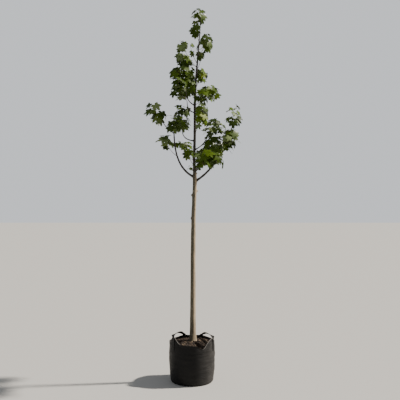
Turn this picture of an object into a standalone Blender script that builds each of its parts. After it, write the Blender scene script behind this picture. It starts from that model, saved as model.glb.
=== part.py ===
"""Young maple tree with a clear stem, growing in a soft planter bag.

Metres, +Z up, the viewer stands on the -Y side.  The origin is the middle of the
bag's flat underside.  Every limb, every mass of leaves, the bag, its handles and
its filling is a solid of its own.
"""
import math
import random

import bmesh
import bpy
from mathutils import Matrix, Vector
from mathutils.bvhtree import BVHTree

# ---------------------------------------------------------------- driving sizes
GAP = 0.0003                    # clearance between pieces that meet
WELD = 0.00001                  # merging distance of a curve's end caps

# planter bag: a woven sack with a flat round base
BAG_RADIUS = 0.220              # widest, at mid height
BAG_BASE_RADIUS = 0.206
BAG_RIM_RADIUS = 0.216
BAG_HEIGHT = 0.383              # rim between the ears
BAG_WALL = 0.003
BAG_EDGE_ROUND = 0.022          # rounding between base and wall
BAG_SEGMENTS = 48
BAG_BANDS = 5                   # bands of faces up the wall
WAVE_START = 0.60               # share of the height where the rim's waves begin
RIM_BUMPS = (                   # bearing, spread, rise: the slack dip, then the four ears
    (-62.0, 9.0, -0.038),
    (218.0, 10.5, 0.066),
    (111.0, 11.0, 0.010),
    (-31.5, 13.0, 0.047),
    (66.0, 11.0, 0.010),
)

# handles: bearings of the two sewn legs and, at shares of the way from the first leg to
# the second, the strap's height, how far it bows out and how far its outer edge tilts down
HANDLES = {
    "handle_left": {"legs": (216.5, 111.0),
                    "arch": ((0.10, 0.460, 0.010, 6.0), (0.42, 0.456, 0.011, 34.0),
                             (0.70, 0.441, 0.007, 32.0), (0.88, 0.416, 0.004, 14.0))},
    "handle_right": {"legs": (-23.0, 66.0),
                     "arch": ((0.10, 0.440, 0.006, 6.0), (0.38, 0.4425, 0.005, 34.0),
                              (0.66, 0.4345, 0.004, 32.0), (0.87, 0.411, 0.002, 14.0))},
}
STRAP_WIDTH = 0.033
STRAP_THICKNESS = 0.0024
STRAP_LEG = 0.090               # sewn length of a leg below the rim
STRAP_CLEAR = 0.0026            # air between a flat leg and the round wall
STRAP_STEPS = 24

# compost
COMPOST_SIDE = 0.0030           # clearance to the soft wall
COMPOST_BASE = 0.0007           # clearance to the bag's base
COMPOST_EDGE = 0.362            # height where it meets the bag
COMPOST_TOP = 0.3837            # flat crown of the mound, the ground level
COMPOST_SEAT = 0.060            # radius of that flat crown

# trunk: height above the floor, sideways and depth offset, diameter
TRUNK_STATIONS = (
    (0.384, 0.006, 0.000, 0.078),
    (0.400, 0.006, 0.000, 0.069),
    (0.440, 0.007, 0.000, 0.062),
    (0.620, 0.009, -0.002, 0.056),
    (0.870, 0.010, -0.004, 0.051),
    (1.160, 0.010, -0.004, 0.048),
    (1.580, 0.015, 0.000, 0.043),
    (1.860, 0.026, 0.003, 0.039),
    (1.950, 0.027, 0.003, 0.036),
    (2.040, 0.023, 0.002, 0.030),
    (2.140, 0.020, 0.000, 0.026),
    (2.310, 0.026, -0.003, 0.025),
    (2.500, 0.027, -0.004, 0.024),
    (2.645, 0.027, -0.002, 0.022),
    (2.880, 0.037, 0.002, 0.019),
    (3.120, 0.057, 0.004, 0.014),
    (3.310, 0.074, 0.002, 0.0095),
    (3.450, 0.082, 0.001, 0.0060),
)
TRUNK_SIDES = 3                 # bevel resolution: 10 sides
STUBS = (                       # pruned snags: height, bearing, length, diameter
    (1.815, 5.0, 0.013, 0.017),
    (1.775, 185.0, 0.012, 0.019),
    (1.555, 190.0, 0.007, 0.015),
    (1.645, -50.0, 0.006, 0.014),
    (1.450, 230.0, 0.005, 0.013),
    (1.985, -20.0, 0.010, 0.012),
)

# boughs: height of the foot on the trunk, bearing, reach, rise, how early it bends
# upward (curl, lift), diameters at foot and tip, and where it is split in two
BOUGHS = {
    "bough_right_low": {"foot": 1.915, "bearing": 4.0, "reach": 0.366, "rise": 0.575,
                        "curl": 1.55, "lift": 1.25, "thick": (0.022, 0.0100), "split": 0.52},
    "bough_left_low": {"foot": 1.955, "bearing": 184.0, "reach": 0.200, "rise": 0.560,
                       "curl": 3.10, "lift": 1.30, "thick": (0.021, 0.0095), "split": 0.50},
    "bough_front_right": {"foot": 2.000, "bearing": -68.0, "reach": 0.150, "rise": 0.085,
                          "curl": 1.60, "lift": 1.10, "thick": (0.014, 0.0080)},
    "bough_back_right": {"foot": 2.045, "bearing": 62.0, "reach": 0.170, "rise": 0.080,
                         "curl": 1.60, "lift": 1.10, "thick": (0.014, 0.0080)},
    "bough_left_middle": {"foot": 2.300, "bearing": 160.0, "reach": 0.125, "rise": 0.100,
                          "curl": 2.20, "lift": 1.60, "thick": (0.012, 0.0070)},
    "bough_right_middle": {"foot": 2.215, "bearing": 38.0, "reach": 0.150, "rise": 0.130,
                           "curl": 1.60, "lift": 1.20, "thick": (0.012, 0.0070)},
    "bough_left_high": {"foot": 2.640, "bearing": 205.0, "reach": 0.090, "rise": 0.120,
                        "curl": 2.00, "lift": 1.40, "thick": (0.011, 0.0065)},
    "bough_back_left": {"foot": 2.570, "bearing": 125.0, "reach": 0.130, "rise": 0.110,
                        "curl": 2.00, "lift": 1.40, "thick": (0.011, 0.0065)},
}
SIDE_BOUGH = {"on": "bough_left_low_upper", "at": 0.60, "bearing": 183.0, "reach": 0.120,
              "rise": 0.135, "curl": 1.30, "lift": 1.25, "thick": (0.0090, 0.0065)}
BOUGH_STEPS = 7
SPLIT_LAP = 0.01                # share of a split bough that its upper length laps back
SPLIT_STEP = 0.0004             # how much slimmer the upper length is at the split
BOUGH_SIDES = 1                 # bevel resolution: 6 sides

# masses of leaves: the limb or trunk height each grows from, the middle and the
# half sizes of its own space, its number of leaves, the length of one blade, and the
# seed of its growth
MASSES = {
    "leaves_tip": ("trunk", 3.450, (0.068, 0.000, 3.460), (0.090, 0.092, 0.126), 12, 0.052, 179),
    "leaves_crown_left": ("trunk", 3.250, (0.034, -0.025, 3.340), (0.068, 0.095, 0.112),
                          10, 0.064, 60),
    "leaves_crown_right": ("trunk", 3.110, (0.136, -0.030, 3.212), (0.074, 0.095, 0.116),
                           9, 0.078, 1),
    "leaves_crown_back": ("trunk", 3.170, (0.106, 0.125, 3.200), (0.080, 0.085, 0.100),
                          5, 0.062, 198),
    "leaves_crown_inner": ("trunk", 3.040, (-0.004, 0.000, 3.160), (0.036, 0.080, 0.092),
                           4, 0.044, 21),
    "leaves_high_left": ("trunk", 3.000, (-0.074, 0.010, 3.196), (0.074, 0.105, 0.078),
                         8, 0.060, 202),
    "leaves_high_right": ("trunk", 2.970, (0.088, 0.000, 3.096), (0.050, 0.085, 0.075),
                          5, 0.056, 53),
    "leaves_shoulder_left": ("trunk", 2.880, (-0.080, 0.000, 3.054), (0.088, 0.115, 0.090),
                             12, 0.066, 213),
    "leaves_upper_left": ("bough_left_high", 1, (-0.110, -0.115, 2.868), (0.120, 0.125, 0.125),
                          14, 0.074, 120),
    "leaves_upper_back": ("bough_back_left", 1, (-0.119, 0.145, 2.770), (0.115, 0.130, 0.125),
                          14, 0.072, 73),
    "leaves_near_left": ("trunk", 2.720, (-0.016, 0.000, 2.850), (0.064, 0.115, 0.155),
                         13, 0.064, 206),
    "leaves_upper_right": ("trunk", 2.810, (0.086, 0.040, 2.925), (0.066, 0.095, 0.088),
                           7, 0.064, 183),
    "leaves_middle_right": ("trunk", 2.640, (0.143, -0.080, 2.724), (0.126, 0.122, 0.112),
                            13, 0.068, 59),
    "leaves_inner_right": ("trunk", 2.370, (0.095, -0.150, 2.528), (0.072, 0.115, 0.158),
                           13, 0.070, 200),
    "leaves_inner_back": ("trunk", 2.420, (0.100, 0.170, 2.568), (0.076, 0.120, 0.135),
                          7, 0.068, 208),
    "leaves_middle_left": ("bough_left_middle", 1, (-0.102, 0.120, 2.502), (0.096, 0.120, 0.168),
                           15, 0.068, 40),
    "leaves_low_left": ("bough_left_low_upper", 1, (-0.164, -0.110, 2.415), (0.100, 0.115, 0.115),
                        13, 0.068, 185),
    "leaves_far_left": ("bough_far_left", 1, (-0.354, 0.000, 2.540), (0.125, 0.120, 0.142),
                        14, 0.068, 134),
    "leaves_hanging_left": ("bough_left_low_lower", 0.90, (-0.250, 0.010, 2.280),
                            (0.118, 0.108, 0.095), 9, 0.068, 88),
    "leaves_inner_left": ("trunk", 2.060, (-0.046, -0.130, 2.190), (0.080, 0.115, 0.110),
                          8, 0.066, 145),
    "leaves_back_left": ("trunk", 2.110, (-0.098, 0.150, 2.250), (0.088, 0.115, 0.074),
                         6, 0.064, 116),
    "leaves_front_right": ("bough_front_right", 1, (0.140, -0.220, 2.106), (0.142, 0.140, 0.124),
                           18, 0.074, 53),
    "leaves_low_right": ("bough_right_low_lower", 0.88, (0.214, 0.000, 2.246),
                         (0.120, 0.108, 0.106), 14, 0.068, 75),
    "leaves_low_back": ("bough_back_right", 1, (0.156, 0.230, 2.160), (0.132, 0.140, 0.112),
                        13, 0.072, 7),
    "leaves_centre_right": ("bough_right_middle", 1, (0.210, 0.130, 2.430), (0.122, 0.115, 0.108),
                            13, 0.062, 26),
    "leaves_tall_right": ("bough_right_low_upper", 1, (0.392, 0.010, 2.508), (0.104, 0.115, 0.146),
                          11, 0.062, 178),
    "leaves_outer_right": ("bough_right_low_lower", 0.96, (0.354, -0.080, 2.300),
                           (0.112, 0.115, 0.118), 14, 0.064, 94),
    "sprout_left": ("trunk", 2.010, (-0.022, -0.012, 2.034), (0.034, 0.034, 0.030), 3, 0.022, 211),
    "sprout_right": ("trunk", 2.015, (0.058, -0.030, 2.046), (0.034, 0.034, 0.034), 3, 0.024, 11),
}
STEM_THICK = (0.0050, 0.0030)   # diameters of a mass's stem at foot and tip
STEM_STEPS = 5
STEM_SUNK = 0.004               # depth that the top stem starts inside the trunk's tip
STEM_BEND = (0.62, 0.30)        # shares of the way out and up where a stem bends
STEM_PAST = (0.25, 0.55)        # way past its space's middle: share of its reach, of its height
STEM_AHEAD = 0.35               # share of its length that a stem follows its bough
STEM_LEAD = 0.05                # length that the top stem follows the trunk
TWIG_THICK = 0.0020             # diameter of a side twig
TWIG_END = 0.0014               # length of a twig past its last node
STALK_THICK = 0.0008            # diameter of a leaf's stalk where it is rooted
NODE_STEP = 0.010               # spacing of the nodes along a stem
STEM_BARE = 0.28                # share of a stem without leaves at its foot
PAIR_SPREAD = 25.0              # degrees that the second leaf of a pair strays from opposite
SPACE_MARGIN = 0.03             # share of a space kept clear next to another's
HEART = 0.62                    # share of a space that the ends of twigs keep to
SHARED_NODE = 0.75              # chance that a leaf grows from a node already there
NEW_NODE_WORTH = 0.80           # worth of a leaf that needs a twig of its own
SUNWARD = Vector((0.40, -0.70, 0.59))   # way that most blades face
LEAF_DRAWS = 60                 # leaves drawn before the best of them is kept
NODE_CLEAR = 0.007              # least distance of a node from a limb
CLEARANCE = 0.0015              # air between foliage and limbs
STALK_BARE = 0.08               # share of a stalk left free of its root in a touch test
TWIG_BARE = 0.20                # the same share of a twig
TWIG_NODE = 0.60                # share of a twig's length where its own node stands
PITCHES = (-14.0, 34.0)         # degrees that a stalk rises from level, least and most
ROLL_SPREAD = 24.0              # degrees that a blade rolls round its stalk
BLADE_HEART = (0.0, 0.35, 0.0)  # middle of a blade, from the stalk's end
SHADE_WORTH = 0.40              # worth of a leaf that faces away from the sun

# leaf, in blade lengths: bearing from the midrib and reach of each lobe tip and notch
BLADE_OUTLINE = ((0, 1.00), (26, 0.56), (50, 0.90), (80, 0.47), (112, 0.58), (168, 0.07),
                 (192, 0.07), (248, 0.58), (280, 0.47), (310, 0.90), (334, 0.56))
BLADE_BASE = 5                  # first of the two base corners, where the stalk grows on
BLADE_THICK = 0.04              # at the stalk
BLADE_CUP = 0.16                # fall of the lobe tips below the stalk's end
STALK_END = (0.0, 0.85, 0.12)   # where the stalk meets the blade, from its root
DROOPS = (20.0, 48.0, 76.0)     # degrees that a blade hangs below its stalk
SIZE_RANGE = (0.80, 1.18)
LEAF_LENGTH = 0.064             # usual blade length, for the stalk's thickness

UP = Vector((0.0, 0.0, 1.0))


# --------------------------------------------------------------------- helpers
def compass(bearing, radius=1.0, height=0.0):
    """Point at a bearing round the Z axis: 0 is +X, 90 is +Y."""
    angle = math.radians(bearing)
    return Vector((radius * math.cos(angle), radius * math.sin(angle), height))


def smooth(low, high, value):
    """0 below low, 1 above high, and an even curve between."""
    share = min(1.0, max(0.0, (value - low) / (high - low)))
    return share * share * (3.0 - 2.0 * share)


def material(name, colour, roughness):
    """Principled material with one colour."""
    made = bpy.data.materials.new(name)
    made.use_nodes = True
    shader = made.node_tree.nodes["Principled BSDF"]
    shader.inputs["Base Color"].default_value = (*colour, 1.0)
    shader.inputs["Roughness"].default_value = roughness
    shader.inputs["Metallic"].default_value = 0.0
    return made


def add_object(name, data, collection, finish=None):
    """Object of a mesh or curve, linked to a collection."""
    made = bpy.data.objects.new(name, data)
    collection.objects.link(made)
    if finish is not None:
        data.materials.append(finish)
    return made


def evaluated_mesh(item):
    """Mesh that an object's modifiers, or its curve, evaluate to now."""
    bpy.context.view_layer.update()
    evaluated = item.evaluated_get(bpy.context.evaluated_depsgraph_get())
    return bpy.data.meshes.new_from_object(evaluated)


def is_closed(mesh):
    """True where every edge of a mesh has two faces."""
    check = bmesh.new()
    check.from_mesh(mesh)
    closed = all(edge.is_manifold for edge in check.edges)
    check.free()
    return closed


def weld(mesh):
    """Merge the corners of a curve's loose end caps with its wall."""
    welded = bmesh.new()
    welded.from_mesh(mesh)
    bmesh.ops.remove_doubles(welded, verts=welded.verts, dist=WELD)
    welded.to_mesh(mesh)
    welded.free()


def to_mesh(item):
    """Replace an object by a plain mesh of what it evaluates to."""
    mesh = evaluated_mesh(item)
    if item.type == 'CURVE':
        weld(mesh)
    name = item.name
    collection = item.users_collection[0]
    place = item.matrix_world.copy()
    bpy.data.objects.remove(item)
    made = add_object(name, mesh, collection)
    made.matrix_world = place
    return made


def apply_boolean(item, operation, tool):
    """Join or cut an object with one tool or a collection of them, and remove these."""
    boolean = item.modifiers.new(operation.title(), 'BOOLEAN')
    boolean.operation = operation
    if isinstance(tool, bpy.types.Collection):
        boolean.operand_type = 'COLLECTION'
        boolean.collection = tool
        used = list(tool.objects)
    else:
        boolean.object = tool
        used = [tool]
    boolean.solver = 'EXACT'
    if not is_closed(evaluated_mesh(item)):
        boolean.solver = 'MANIFOLD'
    made = to_mesh(item)
    for other in used:
        bpy.data.objects.remove(other)
    return made


def islands(mesh):
    """Connected pieces of a bmesh, each as a list of faces."""
    left = set(mesh.faces)
    found = []
    while left:
        front = [left.pop()]
        piece = []
        while front:
            face = front.pop()
            piece.append(face)
            for edge in face.edges:
                for near in edge.link_faces:
                    if near in left:
                        left.remove(near)
                        front.append(near)
        found.append(piece)
    return found


def signed_volume(faces):
    """Volume under a closed set of triangles, negative for a sealed hollow."""
    total = 0.0
    for face in faces:
        corners = [corner.vert.co for corner in face.loops]
        total += corners[0].dot(corners[1].cross(corners[2])) / 6.0
    return total


def keep_main_body(item):
    """Fill sealed hollows and drop scrap: only the largest closed body stays."""
    mesh = bmesh.new()
    mesh.from_mesh(item.data)
    bmesh.ops.triangulate(mesh, faces=mesh.faces)
    pieces = islands(mesh)
    largest = max(pieces, key=signed_volume)
    scrap = [face for piece in pieces if piece is not largest for face in piece]
    bmesh.ops.delete(mesh, geom=scrap, context='FACES')
    mesh.to_mesh(item.data)
    mesh.free()


def tube(name, points, radii, resolution, collection):
    """Tapering limb through points, with closed flat ends."""
    curve = bpy.data.curves.new(name, 'CURVE')
    curve.dimensions = '3D'
    curve.bevel_depth = 1.0
    curve.bevel_resolution = resolution
    curve.use_fill_caps = True
    spline = curve.splines.new('POLY')
    spline.points.add(len(points) - 1)
    for station, point, radius in zip(spline.points, points, radii):
        station.co = (*point, 1.0)
        station.radius = radius
    return add_object(name, curve, collection)


# ------------------------------------------------------------------------- bag
def rim_wave(bearing):
    """Rise of the rim above its level at a bearing, from ears and the slack front."""
    total = 0.0
    for middle, spread, height in RIM_BUMPS:
        away = (bearing - middle + 180.0) % 360.0 - 180.0
        total += height * math.exp(-0.5 * (away / spread) ** 2)
    return total


def bag_radius(height):
    """Outer radius of the wall at a height above the rounded edge."""
    level = (height - BAG_EDGE_ROUND) / (BAG_HEIGHT - BAG_EDGE_ROUND)
    bulge = math.sin(math.pi * level)
    straight = BAG_BASE_RADIUS + (BAG_RIM_RADIUS - BAG_BASE_RADIUS) * level
    middle = 0.5 * (BAG_BASE_RADIUS + BAG_RIM_RADIUS)
    return straight + (BAG_RADIUS - middle) * bulge


def wavy(point, lift=True):
    """Move a point with the rim's waves, fading out down the wall; without lift only
    the slack dip is followed."""
    share = smooth(WAVE_START, 1.0, point.z / BAG_HEIGHT)
    wave = rim_wave(math.degrees(math.atan2(point.y, point.x)))
    if not lift:
        wave = min(wave, 0.0)
    return Vector((point.x, point.y, point.z + wave * share))


def turned(name, outline, collection):
    """Mesh of an outline of (radius, height) turned round the Z axis."""
    mesh = bmesh.new()
    verts = [mesh.verts.new((radius, 0.0, height)) for radius, height in outline]
    edges = [mesh.edges.new(pair) for pair in zip(verts, verts[1:])]
    bmesh.ops.spin(mesh, geom=verts + edges, cent=(0, 0, 0), axis=(0, 0, 1),
                   angle=math.tau, steps=BAG_SEGMENTS, use_merge=True)
    bmesh.ops.remove_doubles(mesh, verts=mesh.verts, dist=WELD)
    bmesh.ops.recalc_face_normals(mesh, faces=mesh.faces)
    data = bpy.data.meshes.new(name)
    mesh.to_mesh(data)
    mesh.free()
    return add_object(name, data, collection)


def bag_outline(base, inset, top):
    """Outline from the middle of the base up the wall to a height, moved in from it."""
    corner = BAG_BASE_RADIUS - BAG_EDGE_ROUND
    outline = [(0.0, base), (corner, base)]
    for angle in (math.radians(45.0), math.radians(80.0)):
        outline.append((corner + (BAG_EDGE_ROUND - inset) * math.sin(angle),
                        BAG_EDGE_ROUND - (BAG_EDGE_ROUND - base) * math.cos(angle)))
    for step in range(1, BAG_BANDS + 1):
        height = BAG_EDGE_ROUND + (top - BAG_EDGE_ROUND) * step / BAG_BANDS
        outline.append((bag_radius(height) - inset, height))
    return outline


def make_bag(collection):
    """Woven shell, open at the top, with ears where the handles pull it up."""
    bag = turned("planter_bag", bag_outline(0.0, 0.0, BAG_HEIGHT), collection)
    for vert in bag.data.vertices:
        vert.co = wavy(vert.co)
    shell = bag.modifiers.new("Wall", 'SOLIDIFY')
    shell.thickness = BAG_WALL
    shell.offset = -1.0
    shell.use_even_offset = True
    bag.data.materials.append(material("woven_black", (0.022, 0.022, 0.024), 0.85))


def make_compost(collection):
    """Filling that follows the inside of the bag, mounded to the trunk's foot."""
    outline = bag_outline(BAG_WALL + COMPOST_BASE, BAG_WALL + COMPOST_SIDE, COMPOST_EDGE)
    edge_radius = outline[-1][0]
    for share in (0.33, 0.66):
        outline.append((edge_radius + (COMPOST_SEAT - edge_radius) * share,
                        COMPOST_EDGE + (COMPOST_TOP - COMPOST_EDGE) * smooth(0.0, 1.0, share)))
    outline.append((COMPOST_SEAT, COMPOST_TOP))
    outline.append((0.0, COMPOST_TOP))
    compost = turned("potting_compost", outline, collection)
    for vert in compost.data.vertices:
        if vert.co.xy.length > COMPOST_SEAT + WELD:
            vert.co = wavy(vert.co, lift=False)
    compost.data.materials.append(material("bark_compost", (0.085, 0.050, 0.032), 0.95))


def strap_stations(legs, arch):
    """Route of a strap: leg, arch along the chord, leg, with its width lines."""
    off = 0.5 * STRAP_THICKNESS + STRAP_CLEAR
    across = compass(0.5 * (legs[0] + legs[1]))
    ends = [compass(leg, BAG_RIM_RADIUS + off) for leg in legs]
    route = []
    for leg in legs:
        width = compass(leg + 90.0)
        if width.dot(across) < 0.0:
            width.negate()
        side = []
        for drop in (STRAP_LEG, 0.5 * STRAP_LEG, 0.0):
            height = BAG_HEIGHT - drop
            side.append((wavy(compass(leg, bag_radius(height) + off, height)), width))
        route.append(side)
    over = []
    for share, height, bow, tilt in arch:
        point = ends[0].lerp(ends[1], share) + across * bow
        turn = math.radians(tilt)
        over.append((Vector((point.x, point.y, height)),
                     across * math.cos(turn) - UP * math.sin(turn)))
    return route[0] + over + route[1][::-1]


def spline_point(points, share):
    """Point of a Catmull-Rom curve through points at a share of their count."""
    place = share * (len(points) - 1)
    index = min(int(place), len(points) - 2)
    step = place - index
    before = points[max(index - 1, 0)]
    start = points[index]
    stop = points[index + 1]
    after = points[min(index + 2, len(points) - 1)]
    return 0.5 * (2.0 * start + (stop - before) * step
                  + (2.0 * before - 5.0 * start + 4.0 * stop - after) * step ** 2
                  + (3.0 * start - before - 3.0 * stop + after) * step ** 3)


def part_way(points, share):
    """Point at a share of the way along straight stretches between points."""
    place = share * (len(points) - 1)
    index = min(int(place), len(points) - 2)
    return points[index].lerp(points[index + 1], place - index)


def make_handle(name, handle, collection, finish):
    """Flat webbing strap along its route, with its own thickness."""
    stations = strap_stations(handle["legs"], handle["arch"])
    points = [point for point, width in stations]
    widths = [width for point, width in stations]
    mesh = bmesh.new()
    bmesh.ops.create_grid(mesh, x_segments=STRAP_STEPS, y_segments=1, size=1.0)
    for vert in mesh.verts:
        share = 0.5 * (vert.co.x + 1.0)
        side = vert.co.y
        middle = spline_point(points, share)
        width = spline_point(widths, share).normalized()
        vert.co = middle + width * side * STRAP_WIDTH * 0.5
    data = bpy.data.meshes.new(name)
    mesh.to_mesh(data)
    mesh.free()
    strap = add_object(name, data, collection, finish)
    thick = strap.modifiers.new("Thickness", 'SOLIDIFY')
    thick.thickness = STRAP_THICKNESS
    thick.offset = 0.0


# ----------------------------------------------------------------------- limbs
def trunk_at(height):
    """Centre and radius of the trunk at a height."""
    heights = [station[0] for station in TRUNK_STATIONS]
    height = min(max(height, heights[0]), heights[-1])
    index = max(i for i in range(len(heights) - 1) if heights[i] <= height)
    low = TRUNK_STATIONS[index]
    high = TRUNK_STATIONS[index + 1]
    share = (height - low[0]) / (high[0] - low[0])
    mixed = [a + (b - a) * share for a, b in zip(low, high)]
    return Vector((mixed[1], mixed[2], height)), 0.5 * mixed[3]


def trunk_tube(name, extra, collection):
    """Trunk through its stations; extra widens and lengthens it for a cutter."""
    points = [Vector((x, y, z)) for z, x, y, thick in TRUNK_STATIONS]
    radii = [0.5 * station[3] + extra for station in TRUNK_STATIONS]
    points[0] = points[0] + UP * (GAP - extra)
    points[-1] = points[-1] + (points[-1] - points[-2]).normalized() * extra
    return tube(name, points, radii, TRUNK_SIDES, collection)


def sweep(foot, spec, start, end):
    """Centre line of a bough: it leaves sideways and bends upward by a power law."""
    points = []
    for step in range(BOUGH_STEPS + 1):
        share = start + (end - start) * step / BOUGH_STEPS
        away = spec["reach"] * (1.0 - (1.0 - share) ** spec["curl"])
        rise = spec["rise"] * share ** spec["lift"]
        points.append(foot + compass(spec["bearing"], away, rise))
    return points


def taper(thick, start, end, shrink=0.0):
    """Radii that fall evenly from foot to tip over a stretch of the bough."""
    radii = []
    for step in range(BOUGH_STEPS + 1):
        share = start + (end - start) * step / BOUGH_STEPS
        radii.append(0.5 * (thick[0] + (thick[1] - thick[0]) * share) - shrink)
    return radii


def plan_limbs():
    """Every limb as name: (points, radii, the limb that carries it)."""
    limbs = {}
    for name, spec in BOUGHS.items():
        foot = trunk_at(spec["foot"])[0]
        split = spec.get("split")
        if split is None:
            limbs[name] = (sweep(foot, spec, 0.0, 1.0), taper(spec["thick"], 0.0, 1.0), "trunk")
            continue
        limbs[name + "_lower"] = (sweep(foot, spec, 0.0, split),
                                  taper(spec["thick"], 0.0, split), "trunk")
        limbs[name + "_upper"] = (sweep(foot, spec, split - SPLIT_LAP, 1.0),
                                  taper(spec["thick"], split, 1.0, SPLIT_STEP), name + "_lower")
    points = limbs[SIDE_BOUGH["on"]][0]
    foot = spline_point(points, SIDE_BOUGH["at"])
    limbs["bough_far_left"] = (sweep(foot, SIDE_BOUGH, 0.0, 1.0),
                               taper(SIDE_BOUGH["thick"], 0.0, 1.0), SIDE_BOUGH["on"])
    return limbs


def limb_cutter(limbs, name, extra, collection):
    """Copy of a limb grown by a distance all round."""
    if name == "trunk":
        return trunk_tube(name + "_cutter", extra, collection)
    points, radii, carrier = limbs[name]
    longer = points[:-1] + [points[-1] + (points[-1] - points[-2]).normalized() * extra]
    return tube(name + "_cutter", longer, [radius + extra for radius in radii],
                BOUGH_SIDES, collection)


def seat(item, limbs, carrier, cutters):
    """Cut the foot of a piece to the limb that carries it, with the usual gap."""
    cutter = to_mesh(limb_cutter(limbs, carrier, GAP, cutters))
    made = apply_boolean(item, 'DIFFERENCE', cutter)
    keep_main_body(made)
    return made


def make_trunk(collection, cutters, finish):
    """Whole trunk from the compost to its tip, with its pruned snags."""
    trunk = to_mesh(trunk_tube("trunk", 0.0, collection))
    for number, (height, bearing, length, thick) in enumerate(STUBS):
        centre, radius = trunk_at(height)
        out = compass(bearing, 1.0, 0.25).normalized()
        points = [centre, centre + out * (radius + length)]
        radii = [0.5 * thick, 0.42 * thick]
        tube("snag_%d" % number, points, radii, 1, cutters)
    for snag in list(cutters.objects):
        to_mesh(snag)
    trunk = apply_boolean(trunk, 'UNION', cutters)
    keep_main_body(trunk)
    trunk.data.materials.append(finish)


def make_boughs(limbs, collection, cutters, finish):
    """Each bough, cut at its foot to what carries it."""
    for name, (points, radii, carrier) in limbs.items():
        bough = to_mesh(tube(name, points, radii, BOUGH_SIDES, collection))
        bough = seat(bough, limbs, carrier, cutters)
        bough.data.materials.append(finish)


# ---------------------------------------------------------------------- leaves
def in_space(point, name):
    """True inside a mass's own space: in its ellipsoid and nearest to it."""
    own = space_depth(point, name)
    if own > 1.0:
        return False
    for other in MASSES:
        if other != name and space_depth(point, other) < own + SPACE_MARGIN:
            return False
    return True


def space_depth(point, name):
    """0 in the middle of a mass's ellipsoid and 1 on its surface."""
    middle, half = MASSES[name][2:4]
    return math.sqrt(sum(((point[i] - middle[i]) / half[i]) ** 2 for i in range(3)))


def stem_line(name, limbs):
    """Centre line of a mass's stem, from inside its carrier through its space."""
    carrier, place, middle, half = MASSES[name][:4]
    middle = Vector(middle)
    if carrier == "trunk":
        foot, radius = trunk_at(place)
        top = place >= TRUNK_STATIONS[-1][0]
        start = foot - UP * STEM_SUNK if top else foot
    else:
        points = limbs[carrier][0]
        start = part_way(points, min(place, 0.99))
    along = middle - start
    past, higher = STEM_PAST
    out, up = STEM_BEND
    end = middle + Vector((along.x * past, along.y * past, half[2] * higher))
    bend = start + Vector((along.x * out, along.y * out, along.z * up))
    if carrier != "trunk" and place == 1:
        tip = points[-1]
        ahead = (points[-1] - points[-2]).normalized()
        bend = tip + ahead * (STEM_AHEAD * along.length)
    if carrier == "trunk" and top:
        bend = start + (foot - trunk_at(place - 0.1)[0]).normalized() * STEM_LEAD
    line = []
    for step in range(STEM_STEPS + 1):
        share = step / STEM_STEPS
        line.append(start * (1.0 - share) ** 2 + bend * 2.0 * share * (1.0 - share)
                    + end * share ** 2)
    return line


def stem_radii():
    """Radii along a stem."""
    return [0.5 * (STEM_THICK[0] + (STEM_THICK[1] - STEM_THICK[0]) * step / STEM_STEPS)
            for step in range(STEM_STEPS + 1)]


def blade_hang(droop):
    """Matrix that hangs a blade on the end of its stalk."""
    return Matrix.Translation(STALK_END) @ Matrix.Rotation(math.radians(-droop), 4, 'X')


def leaf_mesh(droop):
    """Leaf on its stalk: a double cone drawn out to five pointed lobes, with one of
    its base faces extruded to the stalk's root at the origin."""
    mesh = bmesh.new()
    bmesh.ops.create_cone(mesh, cap_ends=True, cap_tris=True, segments=len(BLADE_OUTLINE),
                          radius1=1.0, radius2=0.0, depth=BLADE_THICK)
    bmesh.ops.remove_doubles(mesh, verts=mesh.verts, dist=WELD)
    rim = [vert for vert in mesh.verts if vert.co.xy.length > 0.5]
    rim.sort(key=lambda vert: math.atan2(vert.co.y, vert.co.x) % math.tau)
    for vert in mesh.verts:
        vert.co = Vector((0.0, 0.0, math.copysign(0.5 * BLADE_THICK, vert.co.z)))
    for vert, (bearing, reach) in zip(rim, BLADE_OUTLINE):
        vert.co = compass(bearing + 90.0, reach, -BLADE_CUP * reach ** 2)
    bmesh.ops.transform(mesh, matrix=blade_hang(droop), verts=mesh.verts)
    base = set(rim[BLADE_BASE:BLADE_BASE + 2])
    behind = [face for face in mesh.faces if base <= set(face.verts)]
    lower = min(behind, key=lambda face: face.calc_center_median().z)
    grown = bmesh.ops.extrude_discrete_faces(mesh, faces=[lower])["faces"][0]
    slim = 0.5 * STALK_THICK / LEAF_LENGTH
    for vert in grown.verts:
        side = next(edge.other_vert(vert).co.x for edge in vert.link_edges
                    if edge.other_vert(vert) not in grown.verts)
        if abs(side) < WELD:
            vert.co = Vector((0.0, 0.0, -slim))
        else:
            vert.co = Vector((math.copysign(0.87 * slim, side), 0.0, 0.5 * slim))
    bmesh.ops.triangulate(mesh, faces=mesh.faces)
    bmesh.ops.recalc_face_normals(mesh, faces=mesh.faces)
    data = bpy.data.meshes.new("leaf")
    mesh.to_mesh(data)
    mesh.free()
    return data


def stick_mesh():
    """Three-sided stick of unit length and radius along +Z, a little slimmer at its tip."""
    mesh = bmesh.new()
    bmesh.ops.create_cone(mesh, cap_ends=True, segments=3, radius1=1.0, radius2=0.8, depth=1.0)
    bmesh.ops.translate(mesh, verts=mesh.verts, vec=(0.0, 0.0, 0.5))
    bmesh.ops.triangulate(mesh, faces=mesh.faces)
    data = bpy.data.meshes.new("stick")
    mesh.to_mesh(data)
    mesh.free()
    return data


def stick_place(start, stop, thick):
    """Matrix that lays the unit stick from one point to another."""
    along = stop - start
    turn = UP.rotation_difference(along).to_matrix().to_4x4()
    return (Matrix.Translation(start) @ turn
            @ Matrix.Diagonal((0.5 * thick, 0.5 * thick, along.length, 1.0)))


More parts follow.
